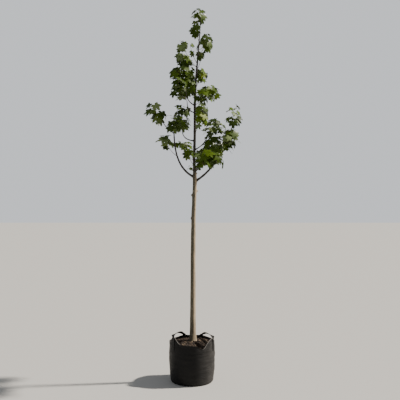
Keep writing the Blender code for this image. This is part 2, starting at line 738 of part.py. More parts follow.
def leaf_place(root, heading, pitch, roll, size):
    """Matrix that sets the unit leaf on its root."""
    turn = (Matrix.Rotation(math.radians(heading - 90.0), 4, 'Z')
            @ Matrix.Rotation(math.radians(pitch), 4, 'X')
            @ Matrix.Rotation(math.radians(roll), 4, 'Y'))
    return Matrix.Translation(root) @ turn @ Matrix.Scale(size, 4)


def search_tree(mesh, matrix):
    """Search tree of a mesh at a place."""
    faces = [tuple(face.vertices) for face in mesh.polygons]
    return BVHTree.FromPolygons([matrix @ vert.co for vert in mesh.vertices], faces)


def leaf_tree(mesh, matrix):
    """Search tree of a leaf whose stalk starts a little off its root, and its corners."""
    free = STALK_BARE * Vector(STALK_END)
    corners = []
    blade = []
    for vert in mesh.vertices:
        if vert.co.length < STALK_THICK / LEAF_LENGTH:
            corners.append(matrix @ (vert.co + free))
        else:
            corners.append(matrix @ vert.co)
            blade.append(corners[-1])
    faces = [tuple(face.vertices) for face in mesh.polygons]
    return BVHTree.FromPolygons(corners, faces), blade


def draw_leaves(name, length, nodes, blades, draw):
    """Leaves drawn for a mass, the best first: well apart from the blades already
    there, facing the sun, and on a node that is there."""
    middle, half = MASSES[name][2:4]
    free = [node for node in nodes if len(nodes[node]) < 2] or list(nodes)
    drawn = []
    for number in range(LEAF_DRAWS):
        root = draw.choice(free)
        offset = Vector((draw.uniform(-1, 1), draw.uniform(-1, 1), draw.uniform(-1, 1)))
        heading = draw.uniform(0.0, 360.0)
        worth = 1.0
        if draw.random() > SHARED_NODE and offset.length < 1.0:
            root = tuple(middle[i] + HEART * half[i] * offset[i] for i in range(3))
            worth = NEW_NODE_WORTH
        elif nodes[root]:
            heading = nodes[root][0] + 180.0 + draw.gauss(0.0, PAIR_SPREAD)
        droop = draw.choice(DROOPS)
        scale = length * draw.uniform(*SIZE_RANGE)
        matrix = leaf_place(Vector(root), heading, draw.uniform(*PITCHES),
                            draw.gauss(0.0, ROLL_SPREAD), scale)
        hang = matrix @ blade_hang(droop)
        heart = hang @ Vector(BLADE_HEART)
        if in_space(heart, name):
            gap = min([(heart - other).length for other in blades] or [1.0])
            facing = 0.5 + 0.5 * hang.to_3x3().col[2].normalized().dot(SUNWARD)
            worth *= gap * (SHADE_WORTH + (1.0 - SHADE_WORTH) * facing)
            drawn.append((worth, root, heading, droop, matrix, heart))
    drawn.sort(key=lambda leaf: -leaf[0])
    return drawn


def stem_nodes(line, limbs):
    """Nodes along a stem and clear of the limbs, each with the headings of its leaves."""
    length = sum((b - a).length for a, b in zip(line, line[1:]))
    count = int(length * (1.0 - STEM_BARE) / NODE_STEP)
    shares = [STEM_BARE + (0.99 - STEM_BARE) * number / count for number in range(count + 1)]
    places = [part_way(line, share) for share in shares]
    return {tuple(place): [] for place in places
            if min(tree.find_nearest(place)[3] for tree in limbs) > NODE_CLEAR}


def grow(name, line, blocked, shapes):
    """Twigs and leaves of one mass as (mesh, matrix), by its seeded rule.

    A node carries one leaf or an opposite pair.  A drawn leaf whose root is away from
    every node gets a twig from the nearest one.  A twig or leaf that would leave the
    space or touch something is skipped.
    """
    count, length, seed = MASSES[name][4:]
    draw = random.Random("%s %d" % (name, seed))
    others = [tree for owner, tree in blocked.items() if owner != name]
    nodes = stem_nodes(line, [tree for owner, tree in blocked.items() if owner not in MASSES])
    pieces = []
    blades = []
    placed = [blocked[name]]
    for attempt in range(2 * count):
        if len(blades) >= count:
            break
        drawn = draw_leaves(name, length, nodes, blades, draw)
        for worth, root, heading, droop, matrix, heart in drawn:
            twig = None
            if root not in nodes:
                near = min(nodes, key=lambda node: (Vector(node) - Vector(root)).length)
                start = Vector(near)
                stop = Vector(root)
                twig = search_tree(shapes["stick"], stick_place(start.lerp(stop, TWIG_BARE),
                                                                stop, TWIG_THICK))
                if any(twig.overlap(tree) for tree in others + placed[1:]):
                    continue
            tree, corners = leaf_tree(shapes[droop], matrix)
            if not all(in_space(corner, name) for corner in corners):
                continue
            if any(tree.overlap(other) for other in others + placed):
                continue
            if twig is not None:
                end = stop + (stop - start).normalized() * TWIG_END
                pieces.append((shapes["stick"], stick_place(start, end, TWIG_THICK)))
                placed.append(twig)
                nodes[root] = []
                nodes[tuple(start.lerp(stop, TWIG_NODE))] = []
            nodes[root].append(heading)
            pieces.append((shapes[droop], matrix))
            blades.append(heart)
            placed.append(tree)
            break
    return pieces


def take_tree(item):
    """Search tree of a scratch object, which is then removed."""
    item = to_mesh(item)
    tree = search_tree(item.data, item.matrix_world)
    bpy.data.objects.remove(item)
    return tree


def make_masses(limbs, collection, cutters, finish):
    """Every mass of leaves, fused to one body on its stem."""
    shapes = {droop: leaf_mesh(droop) for droop in DROOPS}
    shapes["stick"] = stick_mesh()
    lines = {name: stem_line(name, limbs) for name in MASSES}
    blocked = {"trunk": take_tree(limb_cutter(limbs, "trunk", CLEARANCE, cutters))}
    for name in limbs:
        blocked[name] = take_tree(limb_cutter(limbs, name, CLEARANCE, cutters))
    for name, line in lines.items():
        radii = [radius + CLEARANCE for radius in stem_radii()]
        blocked[name] = take_tree(tube(name, line, radii, 0, cutters))
    for name, line in lines.items():
        stem = to_mesh(tube(name, line, stem_radii(), 0, collection))
        stem = seat(stem, limbs, MASSES[name][0], cutters)
        for number, (mesh, matrix) in enumerate(grow(name, line, blocked, shapes)):
            piece = add_object("%s_%d" % (name, number), mesh, cutters)
            piece.matrix_world = matrix
        mass = apply_boolean(stem, 'UNION', cutters)
        keep_main_body(mass)
        mass.data.materials.append(finish)
    for mesh in shapes.values():
        bpy.data.meshes.remove(mesh)


# ------------------------------------------------------------------------ main
def main():
    """Build the whole tree in its bag."""
    for item in list(bpy.data.objects):
        bpy.data.objects.remove(item)
    parts = bpy.data.collections.new("young_maple_in_planter_bag")
    cutters = bpy.data.collections.new("cutters")
    bpy.context.scene.collection.children.link(parts)
    bpy.context.scene.collection.children.link(cutters)
    make_bag(parts)
    make_compost(parts)
    webbing = material("webbing_black", (0.025, 0.025, 0.027), 0.75)
    for name, handle in HANDLES.items():
        make_handle(name, handle, parts, webbing)
    bark = material("bark_grey_olive", (0.155, 0.150, 0.115), 0.80)
    twigs = material("bark_dark", (0.070, 0.055, 0.040), 0.75)
    limbs = plan_limbs()
    make_trunk(parts, cutters, bark)
    make_boughs(limbs, parts, cutters, twigs)
    make_masses(limbs, parts, cutters, material("leaf_green", (0.060, 0.135, 0.038), 0.55))


main()
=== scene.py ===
"""Young maple with a clear stem in a woven planter bag: its looks, built round the frame.

Metres, +Z up, the viewer stands on the -Y side.  The sizes that the source's rules of
growth use are repeated here, so that every limb, twig and leaf stands where its solid
does.
"""
import math
import random
from collections import namedtuple
from functools import lru_cache

import bmesh
import bpy
import numpy as np
from bpy.props import FloatProperty, FloatVectorProperty, IntProperty, PointerProperty
from mathutils import Matrix, Vector, noise
from mathutils.bvhtree import BVHTree


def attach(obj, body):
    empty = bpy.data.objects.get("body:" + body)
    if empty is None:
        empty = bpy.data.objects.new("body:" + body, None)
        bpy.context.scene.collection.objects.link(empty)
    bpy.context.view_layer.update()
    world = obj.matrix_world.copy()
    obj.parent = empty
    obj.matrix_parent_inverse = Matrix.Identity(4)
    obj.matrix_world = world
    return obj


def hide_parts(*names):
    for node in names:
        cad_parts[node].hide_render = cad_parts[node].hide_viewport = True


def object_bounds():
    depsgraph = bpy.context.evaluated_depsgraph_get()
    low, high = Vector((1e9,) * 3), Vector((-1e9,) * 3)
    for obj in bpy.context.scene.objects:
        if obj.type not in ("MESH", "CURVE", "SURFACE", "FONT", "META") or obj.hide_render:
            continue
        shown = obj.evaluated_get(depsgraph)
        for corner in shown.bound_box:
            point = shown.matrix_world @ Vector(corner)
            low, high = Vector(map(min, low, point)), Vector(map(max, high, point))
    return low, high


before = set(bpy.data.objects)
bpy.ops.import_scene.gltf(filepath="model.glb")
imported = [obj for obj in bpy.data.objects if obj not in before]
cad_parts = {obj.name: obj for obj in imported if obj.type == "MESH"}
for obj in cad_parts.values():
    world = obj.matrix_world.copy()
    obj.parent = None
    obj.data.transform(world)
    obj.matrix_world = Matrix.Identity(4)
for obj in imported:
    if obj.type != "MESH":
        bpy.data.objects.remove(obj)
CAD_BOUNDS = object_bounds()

bl_info = {
    "name": "Young maple in a planter bag",
    "version": (1, 0, 0),
    "blender": (4, 5, 0),
    "location": "3D View > Sidebar > Maple",
    "description": "Dresses the packed tree, its bag and its filling",
    "category": "Object",
}

UP = Vector((0.0, 0.0, 1.0))

# ---- sizes shared with the source ----
WELD = 0.00001
BAG_RADIUS = 0.22
BAG_BASE_RADIUS = 0.206
BAG_RIM_RADIUS = 0.216
BAG_HEIGHT = 0.383
BAG_EDGE_ROUND = 0.022
WAVE_START = 0.6                # share of the bag's height where the rim's waves begin
RIM_BUMPS = (                   # bearing, spread in degrees, rise
    (-62.0, 9.0, -0.038),
    (218.0, 10.5, 0.066),
    (111.0, 11.0, 0.01),
    (-31.5, 13.0, 0.047),
    (66.0, 11.0, 0.01),
)
HANDLES = {                     # legs' bearings, and share, height, bow and tilt of an arch
    "handle_left": {"legs": (216.5, 111.0),
                    "arch": ((0.1, 0.46, 0.01, 6.0), (0.42, 0.456, 0.011, 34.0),
                             (0.7, 0.441, 0.007, 32.0), (0.88, 0.416, 0.004, 14.0))},
    "handle_right": {"legs": (-23.0, 66.0),
                     "arch": ((0.1, 0.44, 0.006, 6.0), (0.38, 0.4425, 0.005, 34.0),
                              (0.66, 0.4345, 0.004, 32.0), (0.87, 0.411, 0.002, 14.0))},
}
STRAP_WIDTH = 0.033
STRAP_LEG = 0.09
COMPOST_EDGE = 0.362
COMPOST_TOP = 0.3837
COMPOST_SEAT = 0.06
TRUNK_STATIONS = (              # height, x, y, thickness
    (0.384, 0.006, 0.0, 0.078),
    (0.4, 0.006, 0.0, 0.069),
    (0.44, 0.007, 0.0, 0.062),
    (0.62, 0.009, -0.002, 0.056),
    (0.87, 0.01, -0.004, 0.051),
    (1.16, 0.01, -0.004, 0.048),
    (1.58, 0.015, 0.0, 0.043),
    (1.86, 0.026, 0.003, 0.039),
    (1.95, 0.027, 0.003, 0.036),
    (2.04, 0.023, 0.002, 0.03),
    (2.14, 0.02, 0.0, 0.026),
    (2.31, 0.026, -0.003, 0.025),
    (2.5, 0.027, -0.004, 0.024),
    (2.645, 0.027, -0.002, 0.022),
    (2.88, 0.037, 0.002, 0.019),
    (3.12, 0.057, 0.004, 0.014),
    (3.31, 0.074, 0.002, 0.0095),
    (3.45, 0.082, 0.001, 0.006),
)
TRUNK_SIDES = 3
STUBS = (                       # height, bearing, length, thickness
    (1.815, 5.0, 0.013, 0.017),
    (1.775, 185.0, 0.012, 0.019),
    (1.555, 190.0, 0.007, 0.015),
    (1.645, -50.0, 0.006, 0.014),
    (1.45, 230.0, 0.005, 0.013),
    (1.985, -20.0, 0.01, 0.012),
)
Bough = namedtuple("Bough", "foot bearing reach rise curl lift thick split", defaults=(None,))
BOUGHS = {
    "bough_right_low": Bough(1.915, 4.0, 0.366, 0.575, 1.55, 1.25, (0.022, 0.01), 0.52),
    "bough_left_low": Bough(1.955, 184.0, 0.2, 0.56, 3.1, 1.3, (0.021, 0.0095), 0.5),
    "bough_front_right": Bough(2.0, -68.0, 0.15, 0.085, 1.6, 1.1, (0.014, 0.008)),
    "bough_back_right": Bough(2.045, 62.0, 0.17, 0.08, 1.6, 1.1, (0.014, 0.008)),
    "bough_left_middle": Bough(2.3, 160.0, 0.125, 0.1, 2.2, 1.6, (0.012, 0.007)),
    "bough_right_middle": Bough(2.215, 38.0, 0.15, 0.13, 1.6, 1.2, (0.012, 0.007)),
    "bough_left_high": Bough(2.64, 205.0, 0.09, 0.12, 2.0, 1.4, (0.011, 0.0065)),
    "bough_back_left": Bough(2.57, 125.0, 0.13, 0.11, 2.0, 1.4, (0.011, 0.0065)),
}
SIDE_BOUGH = Bough(None, 183.0, 0.12, 0.135, 1.3, 1.25, (0.009, 0.0065))
SIDE_CARRIER = ("bough_left_low_upper", 0.6)    # bough that it grows on, and the share of its length
BOUGH_STEPS = 7
SPLIT_LAP = 0.01                # share of a split bough that its upper length laps back
SPLIT_STEP = 0.0004             # how much slimmer the upper length is at the split
BOUGH_SIDES = 1
# Each mass: carrier, place on it, middle and half size of its space, count and length of
# its leaves, their seed, count and seed of its finer leaves, and the light painted on them.
MASSES = {
    "leaves_tip": ("trunk", 3.45, (0.068, 0.0, 3.46), (0.09, 0.092, 0.126),
        12, 0.052, 179, 2, 20, "open"),
    "leaves_crown_left": ("trunk", 3.25, (0.034, -0.025, 3.34), (0.068, 0.095, 0.112),
        10, 0.064, 60, 1, 12, "shade"),
    "leaves_crown_right": ("trunk", 3.11, (0.136, -0.03, 3.212), (0.074, 0.095, 0.116),
        9, 0.078, 1, 2, 26, "open"),
    "leaves_crown_back": ("trunk", 3.17, (0.106, 0.125, 3.2), (0.08, 0.085, 0.1),
        5, 0.062, 198, 6, 25, "shade"),
    "leaves_crown_inner": ("trunk", 3.04, (-0.004, 0.0, 3.16), (0.036, 0.08, 0.092),
        4, 0.044, 21, 2, 9, "open"),
    "leaves_high_left": ("trunk", 3, (-0.074, 0.01, 3.196), (0.074, 0.105, 0.078),
        8, 0.06, 202, 7, 22, "silver"),
    "leaves_high_right": ("trunk", 2.97, (0.088, 0.0, 3.096), (0.05, 0.085, 0.075),
        5, 0.056, 53, 1, 20, "open"),
    "leaves_shoulder_left": ("trunk", 2.88, (-0.08, 0.0, 3.054), (0.088, 0.115, 0.09),
        12, 0.066, 213, 11, 30, "shade"),
    "leaves_upper_left": ("bough_left_high", 1, (-0.11, -0.115, 2.868), (0.12, 0.125, 0.125),
        14, 0.074, 120, 11, 19, "shade"),
    "leaves_upper_back": ("bough_back_left", 1, (-0.119, 0.145, 2.77), (0.115, 0.13, 0.125),
        14, 0.072, 73, 2, 16, "shade"),
    "leaves_near_left": ("trunk", 2.72, (-0.016, 0.0, 2.85), (0.064, 0.115, 0.155),
        13, 0.064, 206, 16, 16, "shade"),
    "leaves_upper_right": ("trunk", 2.81, (0.086, 0.04, 2.925), (0.066, 0.095, 0.088),
        7, 0.064, 183, 5, 4, "sun"),
    "leaves_middle_right": ("trunk", 2.64, (0.143, -0.08, 2.724), (0.126, 0.122, 0.112),
        13, 0.068, 59, 21, 11, "sun"),
    "leaves_inner_right": ("trunk", 2.37, (0.095, -0.15, 2.528), (0.072, 0.115, 0.158),
        13, 0.07, 200, 2, 4, "sun"),
    "leaves_inner_back": ("trunk", 2.42, (0.1, 0.17, 2.568), (0.076, 0.12, 0.135),
        7, 0.068, 208, 3, 17, "open"),
    "leaves_middle_left": ("bough_left_middle", 1, (-0.102, 0.12, 2.502), (0.096, 0.12, 0.168),
        15, 0.068, 40, 15, 17, "shade"),
    "leaves_low_left": ("bough_left_low_upper", 1, (-0.164, -0.11, 2.415), (0.1, 0.115, 0.115),
        13, 0.068, 185, 4, 13, "shade"),
    "leaves_far_left": ("bough_far_left", 1, (-0.354, 0.0, 2.54), (0.125, 0.12, 0.142),
        14, 0.068, 134, 1, 25, "open"),
    "leaves_hanging_left": ("bough_left_low_lower", 0.9, (-0.25, 0.01, 2.28), (0.118, 0.108, 0.095),
        9, 0.068, 88, 1, 13, "open"),
    "leaves_inner_left": ("trunk", 2.06, (-0.046, -0.13, 2.19), (0.08, 0.115, 0.11),
        8, 0.066, 145, 3, 11, "shade"),
    "leaves_back_left": ("trunk", 2.11, (-0.098, 0.15, 2.25), (0.088, 0.115, 0.074),
        6, 0.064, 116, 1, 27, "shade"),
    "leaves_front_right": ("bough_front_right", 1, (0.14, -0.22, 2.106), (0.142, 0.14, 0.124),
        18, 0.074, 53, 8, 3, "shade"),
    "leaves_low_right": ("bough_right_low_lower", 0.88, (0.214, 0.0, 2.246), (0.12, 0.108, 0.106),
        14, 0.068, 75, 22, 21, "open"),
    "leaves_low_back": ("bough_back_right", 1, (0.156, 0.23, 2.16), (0.132, 0.14, 0.112),
        13, 0.072, 7, 22, 2, "shade"),
    "leaves_centre_right": ("bough_right_middle", 1, (0.21, 0.13, 2.43), (0.122, 0.115, 0.108),
        13, 0.062, 26, 12, 4, "silver"),
    "leaves_tall_right": ("bough_right_low_upper", 1, (0.392, 0.01, 2.508), (0.104, 0.115, 0.146),
        11, 0.062, 178, 3, 6, "open"),
    "leaves_outer_right": ("bough_right_low_lower", 0.96, (0.354, -0.08, 2.3), (0.112, 0.115, 0.118),
        14, 0.064, 94, 22, 10, "silver"),
    "sprout_left": ("trunk", 2.01, (-0.022, -0.012, 2.034), (0.034, 0.034, 0.03),
        3, 0.022, 211, 3, 15, "sun"),
    "sprout_right": ("trunk", 2.015, (0.058, -0.03, 2.046), (0.034, 0.034, 0.034),
        3, 0.024, 11, 22, 26, "shade"),
}
STEM_THICK = (0.005, 0.003)
STEM_STEPS = 5
STEM_SUNK = 0.004               # depth that the top stem starts inside the trunk's tip
STEM_BEND = (0.62, 0.3)        # shares of the way out and up where a stem bends
STEM_PAST = (0.25, 0.55)        # way past its space's middle: share of its reach, of its height
STEM_AHEAD = 0.35               # share of its length that a stem follows its bough
STEM_LEAD = 0.05                # length that the top stem follows the trunk
TWIG_THICK = 0.002
STALK_THICK = 0.0008
NODE_STEP = 0.01
STEM_BARE = 0.28
PAIR_SPREAD = 25.0
SPACE_MARGIN = 0.03
HEART = 0.62
SHARED_NODE = 0.75
NEW_NODE_WORTH = 0.8
SUNWARD = Vector((0.4, -0.7, 0.59))
LEAF_DRAWS = 60
NODE_CLEAR = 0.007
CLEARANCE = 0.0015
STALK_BARE = 0.08
TWIG_BARE = 0.2
TWIG_NODE = 0.6
PITCHES = (-14.0, 34.0)
ROLL_SPREAD = 24.0
BLADE_HEART = (0.0, 0.35, 0.0)
SHADE_WORTH = 0.4
BLADE_OUTLINE = ((0, 1.0), (26, 0.56), (50, 0.9), (80, 0.47), (112, 0.58), (168, 0.07),
                 (192, 0.07), (248, 0.58), (280, 0.47), (310, 0.9), (334, 0.56))
BLADE_BASE = 5
BLADE_THICK = 0.04
BLADE_CUP = 0.16
STALK_END = (0.0, 0.85, 0.12)
DROOPS = (20.0, 48.0, 76.0)
SIZE_RANGE = (0.8, 1.18)
LEAF_LENGTH = 0.064

# ---- sizes that only the looks use ----
BAG_RING_STEP = 0.009           # height between the rings of the modelled fabric
BAG_RING_VERTS = 112            # corners of each ring
HEM_OFFSET = 0.0003             # air between the wall and the folded hem
STRAP_FOOT_CLEAR = 0.0003       # air behind a sewn leg at its lower end
STRAP_RIM_CLEAR = 0.0014        # and where it passes the hem
STRAP_RINGS = 110               # faces along a strap and across it
STRAP_LANES = 6
SLACK_FRONT = (-42.0, 34.0)     # bearing and spread of the loose part of the wall
LEG_HOLD = 7.0                  # degrees on each side of a handle's leg that it holds taut
BOX_DROP = 0.006                # top of a leg's upper box of stitches below the rim
BOX_DEPTH = 0.03
FOOT_DROP = 0.004               # and of its lower box above the leg's end
HEM_STITCH = 0.0068             # length of a stitch of the hem with the gap after it
HEM_SEAM = 0.004                # height of its seam above the hem's lower edge
FOLDS = (                       # bearing, height, half length in degrees, lean, half width, depth
    (-36.0, 0.337, 9.0, 0.0011, 0.006, 0.006),
    (-47.0, 0.314, 8.0, -0.0012, 0.0055, 0.0056),
    (-33.0, 0.301, 10.0, 0.0004, 0.006, 0.0048),
    (-64.0, 0.322, 12.0, 0.0006, 0.0055, -0.004),
    (-54.0, 0.343, 6.0, -0.0028, 0.005, 0.0056),
    (-82.0, 0.33, 9.0, 0.0007, 0.006, 0.003),
    (-40.0, 0.284, 13.0, 0.0012, 0.0055, 0.004),
    (-45.0, 0.262, 16.0, 0.0003, 0.006, 0.004),
    (-38.0, 0.224, 18.0, -0.0002, 0.006, 0.004),
    (-30.0, 0.201, 12.0, 0.0006, 0.005, 0.0036),
    (-52.0, 0.176, 20.0, 0.0003, 0.0065, 0.0042),
    (-34.0, 0.152, 14.0, -0.0005, 0.005, 0.0036),
    (-36.0, 0.128, 17.0, -0.0003, 0.0065, 0.004),
    (-40.0, 0.104, 13.0, 0.0006, 0.005, 0.0034),
    (-50.0, 0.083, 20.0, 0.0002, 0.006, 0.0038),
    (205.0, 0.3, 14.0, 0.001, 0.007, 0.0022),
    (150.0, 0.25, 18.0, -0.0006, 0.008, 0.0024),
    (60.0, 0.21, 18.0, 0.0006, 0.008, 0.0024),
    (20.0, 0.29, 14.0, -0.0008, 0.007, 0.0026),
    (100.0, 0.12, 20.0, 0.0003, 0.008, 0.0022),
)
FINER_LENGTH = 0.74             # blade length of the finer leaves, as a share of the others
FINER_TRIES = 44                # times that a mass tries for one more finer leaf
SOURCE_RULE = {"shared": SHARED_NODE, "reach": 1.0}
FINER_RULE = {"shared": 0.55, "reach": 1.28}    # finer twigs fill the gaps between masses
FINER_PAST = 0.016              # how far a finer leaf may reach past the solids' own box
TRUNK_RING_CUTS = (19, 19)      # cuts made in the trunk's skin, twice over
LIMB_VERTS = 12                 # corners round a bough or a snag
LEAF_FINISHES = (               # finish, its colour and its roughness, the tints first
    ("leaf_deep", "deep_colour", 0.42),
    ("leaf_mid", "mid_colour", 0.40),
    ("leaf_fresh", "fresh_colour", 0.42),
    ("leaf_lit", "lit_colour", 0.50),
    # painted highlight: pale grey-green tint for leaves that catch the light
    ("leaf_pale", "painted_highlight_colour", 0.55),
    ("leaf_sheen", "sheen_colour", 0.30),
    ("leaf_ribs", "rib_colour", 0.50),
    ("leaf_underside", "under_colour", 0.62),
    ("leaf_stalks", "stalk_colour", 0.50),
)
LEAF_TINTS = 6                  # how many of these finishes are tints of the upper side
# the tints paint light and shade: deep for shade, fresh and lit for light, the highlight tint and
# sheen for reflections
TINT_SHARES = {                 # how often each tint falls to a leaf, by the light and shade painted on its mass
    "shade": (7, 8, 3, 0, 0, 2),
    "open": (4, 8, 5, 1, 1, 3),
    "sun": (1, 5, 8, 5, 1, 1),
    "silver": (3, 5, 2, 0, 4, 5),
}
EYE = Vector((0.0766, -6.0, 1.82))    # place of the camera
LENS_MM = 56.43                 # on a sensor 36 mm wide
TILT_DOWN = 0.82                # degrees that the camera looks down


def size(name, description, default):
    """Length that a user may change."""
    return FloatProperty(name=name, description=description, default=default, unit='LENGTH',
                         subtype='DISTANCE', precision=4)


def tint(name, description, default):
    """Colour that a user may change."""
    return FloatVectorProperty(name=name, description=description, default=default,
                               subtype='COLOR', size=3, min=0.0, max=1.0)


class PlanterBagSettings(bpy.types.PropertyGroup):
    """Fabric of the bag."""

    fabric_thickness: size("Fabric thickness", "Thickness of the woven fabric", 0.0008)
    hem_depth: size("Hem depth", "Depth of the fold sewn round the rim", 0.024)
    wrinkle_depth: size("Wrinkle depth", "How far the loose wall waves in and out", 0.0026)
    tape_width: size("Tape width", "Width of one woven tape", 0.0026)
    fabric_colour: tint("Fabric colour", "Base colour of the fabric", (0.0036, 0.0036, 0.004))
    dust_colour: tint("Dust colour", "Dry soil caught in the weave", (0.03, 0.025, 0.02))
    # painted sunlight: lighter colour of the bag's right side, which the key lamp lights
    painted_sunlight_colour: tint("Painted sunlight colour", "Fabric lighter on its right side as painted sunlight", (0.056, 0.053, 0.051))
    # painted highlight: light colour of the hem's edge at the two ears
    rim_highlight_colour: tint("Rim highlight colour", "Painted highlight on the hem's edge at the ears", (0.3, 0.28, 0.27))


class HandleSettings(bpy.types.PropertyGroup):
    """Webbing of the two handles."""

    strap_thickness: size("Strap thickness", "Thickness of the webbing", 0.0022)
    webbing_colour: tint("Webbing colour", "Base colour of the webbing", (0.0045, 0.0043, 0.0043))
    stitch_length: size("Stitch length", "Length of one stitch of the seams", 0.0034)
    stitch_colour: tint("Stitch colour", "Colour of the sewing thread", (0.016, 0.015, 0.015))


class CompostSettings(bpy.types.PropertyGroup):
    """Filling of the bag."""

    chip_count: IntProperty(name="Chips", description="Pieces of bark on the mound",
                            default=2400, min=0, max=5000)
    chip_length: size("Chip length", "Usual length of one piece of bark", 0.0145)
    lump_height: size("Lump height", "Height of the lumps of the mound", 0.0055)
    soil_colour: tint("Soil colour", "Fine compost between the chips", (0.013, 0.008, 0.0056))


class BarkSettings(bpy.types.PropertyGroup):
    """Bark of the trunk and the boughs."""

    bark_relief: size("Bark relief", "Depth of the relief of the trunk's bark", 0.0011)
    trunk_colour: tint("Trunk colour", "Bark of the clear stem", (0.1, 0.084, 0.052))
    # painted sunlight: lighter bark colour for the stem's right side
    painted_sun_bark_colour: tint("Painted sunlit bark", "Bark on the sunny side of the stem",
                          (0.54, 0.425, 0.29))
    lichen_colour: tint("Lichen colour", "Pale flecks on the stem", (0.44, 0.39, 0.29))
    # painted shade: dark bark colour for the stem inside the crown and for the boughs
    crown_shade_colour: tint("Crown shade colour", "Bark inside the crown", (0.022, 0.0165, 0.0115))


class FoliageSettings(bpy.types.PropertyGroup):
    """Leaves and twigs."""

    bud_length: size("Bud length", "Length of a bud", 0.0055)
    spur_length: size("Spur length", "Usual length of the finest twigs", 0.03)
    deep_colour: tint("Deep green", "Leaf in the shade", (0.031, 0.056, 0.0025))
    mid_colour: tint("Mid green", "Usual leaf", (0.057, 0.099, 0.004))
    fresh_colour: tint("Fresh green", "Leaf in good light", (0.098, 0.16, 0.008))
    lit_colour: tint("Lit green", "Leaf that the sun shines through", (0.19, 0.252, 0.02))
    # painted highlight: pale grey-green for leaves that catch the light
    painted_highlight_colour: tint("Highlight green", "Leaf with a grey-green painted highlight", (0.225, 0.285, 0.115))
    sheen_colour: tint("Blue green", "Leaf that mirrors the sky", (0.12, 0.168, 0.058))
    under_colour: tint("Underside", "Lower face of a leaf", (0.085, 0.126, 0.022))
    rib_colour: tint("Ribs", "Main ribs of a leaf", (0.12, 0.19, 0.03))
    stalk_colour: tint("Stalks", "Stalk of a leaf", (0.11, 0.08, 0.028))


class StageSettings(bpy.types.PropertyGroup):
    """Floor, light and camera."""

    floor_colour: tint("Floor colour", "Plain floor", (0.62, 0.61, 0.59))
    air_colour: tint("Air colour", "Light that comes from all round", (0.86, 0.89, 0.93))
    air_strength: FloatProperty(name="Air strength", description="Strength of that light",
                                default=0.29, min=0.0)
    backdrop: FloatProperty(name="Backdrop", description="How bright the air itself looks",
                            default=0.88, min=0.0)
    key_strength: FloatProperty(name="Key strength", description="Strength of the main lamp",
                                default=5.4, min=0.0)


# ---- modelling ----
def compass(bearing, radius=1.0, height=0.0):
    """Point at a bearing round the Z axis: 0 is +X, 90 is +Y."""
    angle = math.radians(bearing)
    return Vector((radius * math.cos(angle), radius * math.sin(angle), height))


def smooth(low, high, value):
    """0 below low, 1 above high, and an even curve between."""
    share = min(1.0, max(0.0, (value - low) / (high - low)))
    return share * share * (3.0 - 2.0 * share)


def bump_at(value, middle, spread):
    """Bell curve of height 1 at its middle."""
    return math.exp(-0.5 * ((value - middle) / spread) ** 2)


def turn_between(bearing, middle):
    """Signed degrees from one bearing to another."""
    return (bearing - middle + 180.0) % 360.0 - 180.0


def bump_round(bearing, middle, spread):
    """Bell curve round the Z axis, of height 1 at its middle bearing."""
    return bump_at(turn_between(bearing, middle), 0.0, spread)


def bearing_of(point):
    """Bearing of a point round the Z axis, in degrees."""
    return math.degrees(math.atan2(point.y, point.x))


def swell(x, y, z):
    """Smooth noise, about -1 to 1, at a place."""
    return noise.noise(Vector((x, y, z)))


def arc(start, bend, end, steps):
    """Points of a curve that leaves its start towards a bend and comes to its end."""
    shares = [step / steps for step in range(steps + 1)]
    return [start * (1.0 - share) ** 2 + bend * 2.0 * share * (1.0 - share)
            + end * share ** 2 for share in shares]


def start_piece(name, kind, **values):
    """Add a primitive, name it and open it for editing, with all of it selected."""
    deselect()
    getattr(bpy.ops.mesh, "primitive_%s_add" % kind)(**values)
    item = bpy.context.object
    item.name = name
    item.data.name = name
    bpy.ops.object.mode_set(mode='EDIT')
    bpy.ops.mesh.select_mode(type='VERT')
    bpy.ops.mesh.select_all(action='SELECT')
    return item


def deselect():
    """Leave nothing selected, the frame's nodes included."""
    bpy.ops.object.select_all(action='DESELECT')


def only(item):
    """Select one object and make it active."""
    deselect()
    item.select_set(True)
    bpy.context.view_layer.objects.active = item


def apply_modifier(item, kind, **values):
    """Add a modifier, set it and apply it."""
    only(item)
    modifier = item.modifiers.new(kind.title(), kind)
    for name, value in values.items():
        setattr(modifier, name, value)
    bpy.ops.object.modifier_apply(modifier=modifier.name)


def smooth_faces(item, degrees):
    """Smooth shading with edges kept where faces turn sharply."""
    only(item)
    bpy.ops.object.shade_smooth_by_angle(angle=math.radians(degrees))


def rings_up(name, outline, verts):
    """Skin of an outline of (radius, height): a disc, and then ring after ring."""
    radius, height = outline[0]
    item = start_piece(name, "circle", vertices=verts, radius=radius, fill_type='NGON')
    bpy.ops.transform.translate(value=(0.0, 0.0, height))
    bpy.ops.mesh.select_mode(type='EDGE')
    bpy.ops.mesh.select_all(action='SELECT')
    for radius_next, height_next in outline[1:]:
        bpy.ops.mesh.extrude_edges_move(
            TRANSFORM_OT_translate={"value": (0.0, 0.0, height_next - height)})
        grow_by = radius_next / radius
        bpy.ops.transform.resize(value=(grow_by, grow_by, 1.0),
                                 center_override=(0.0, 0.0, height_next))
        radius = radius_next
        height = height_next
    return item


def close_up():
    """Leave edit mode with faces that look outward."""
    bpy.ops.mesh.select_all(action='SELECT')
    bpy.ops.mesh.normals_make_consistent(inside=False)
    bpy.ops.object.mode_set(mode='OBJECT')


def lay_uv(item, place):
    """UV map from a function that gives (u, v) for a corner and its face's middle."""
    layer = item.data.uv_layers.get("UVMap") or item.data.uv_layers.new(name="UVMap")
    verts = item.data.vertices
    for face in item.data.polygons:
        for corner in face.loop_indices:
            point = verts[item.data.loops[corner].vertex_index].co
            layer.data[corner].uv = place(point, face.center)


def finish_piece(item, finishes, slot, *nodes):
    """Give a piece its materials and its body, and hide the nodes it stands for; its slot is not
    used.
    """
    for finish in finishes:
        item.data.materials.append(finish)
    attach(item, "root")
    if nodes:
        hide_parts(*nodes)
    return item


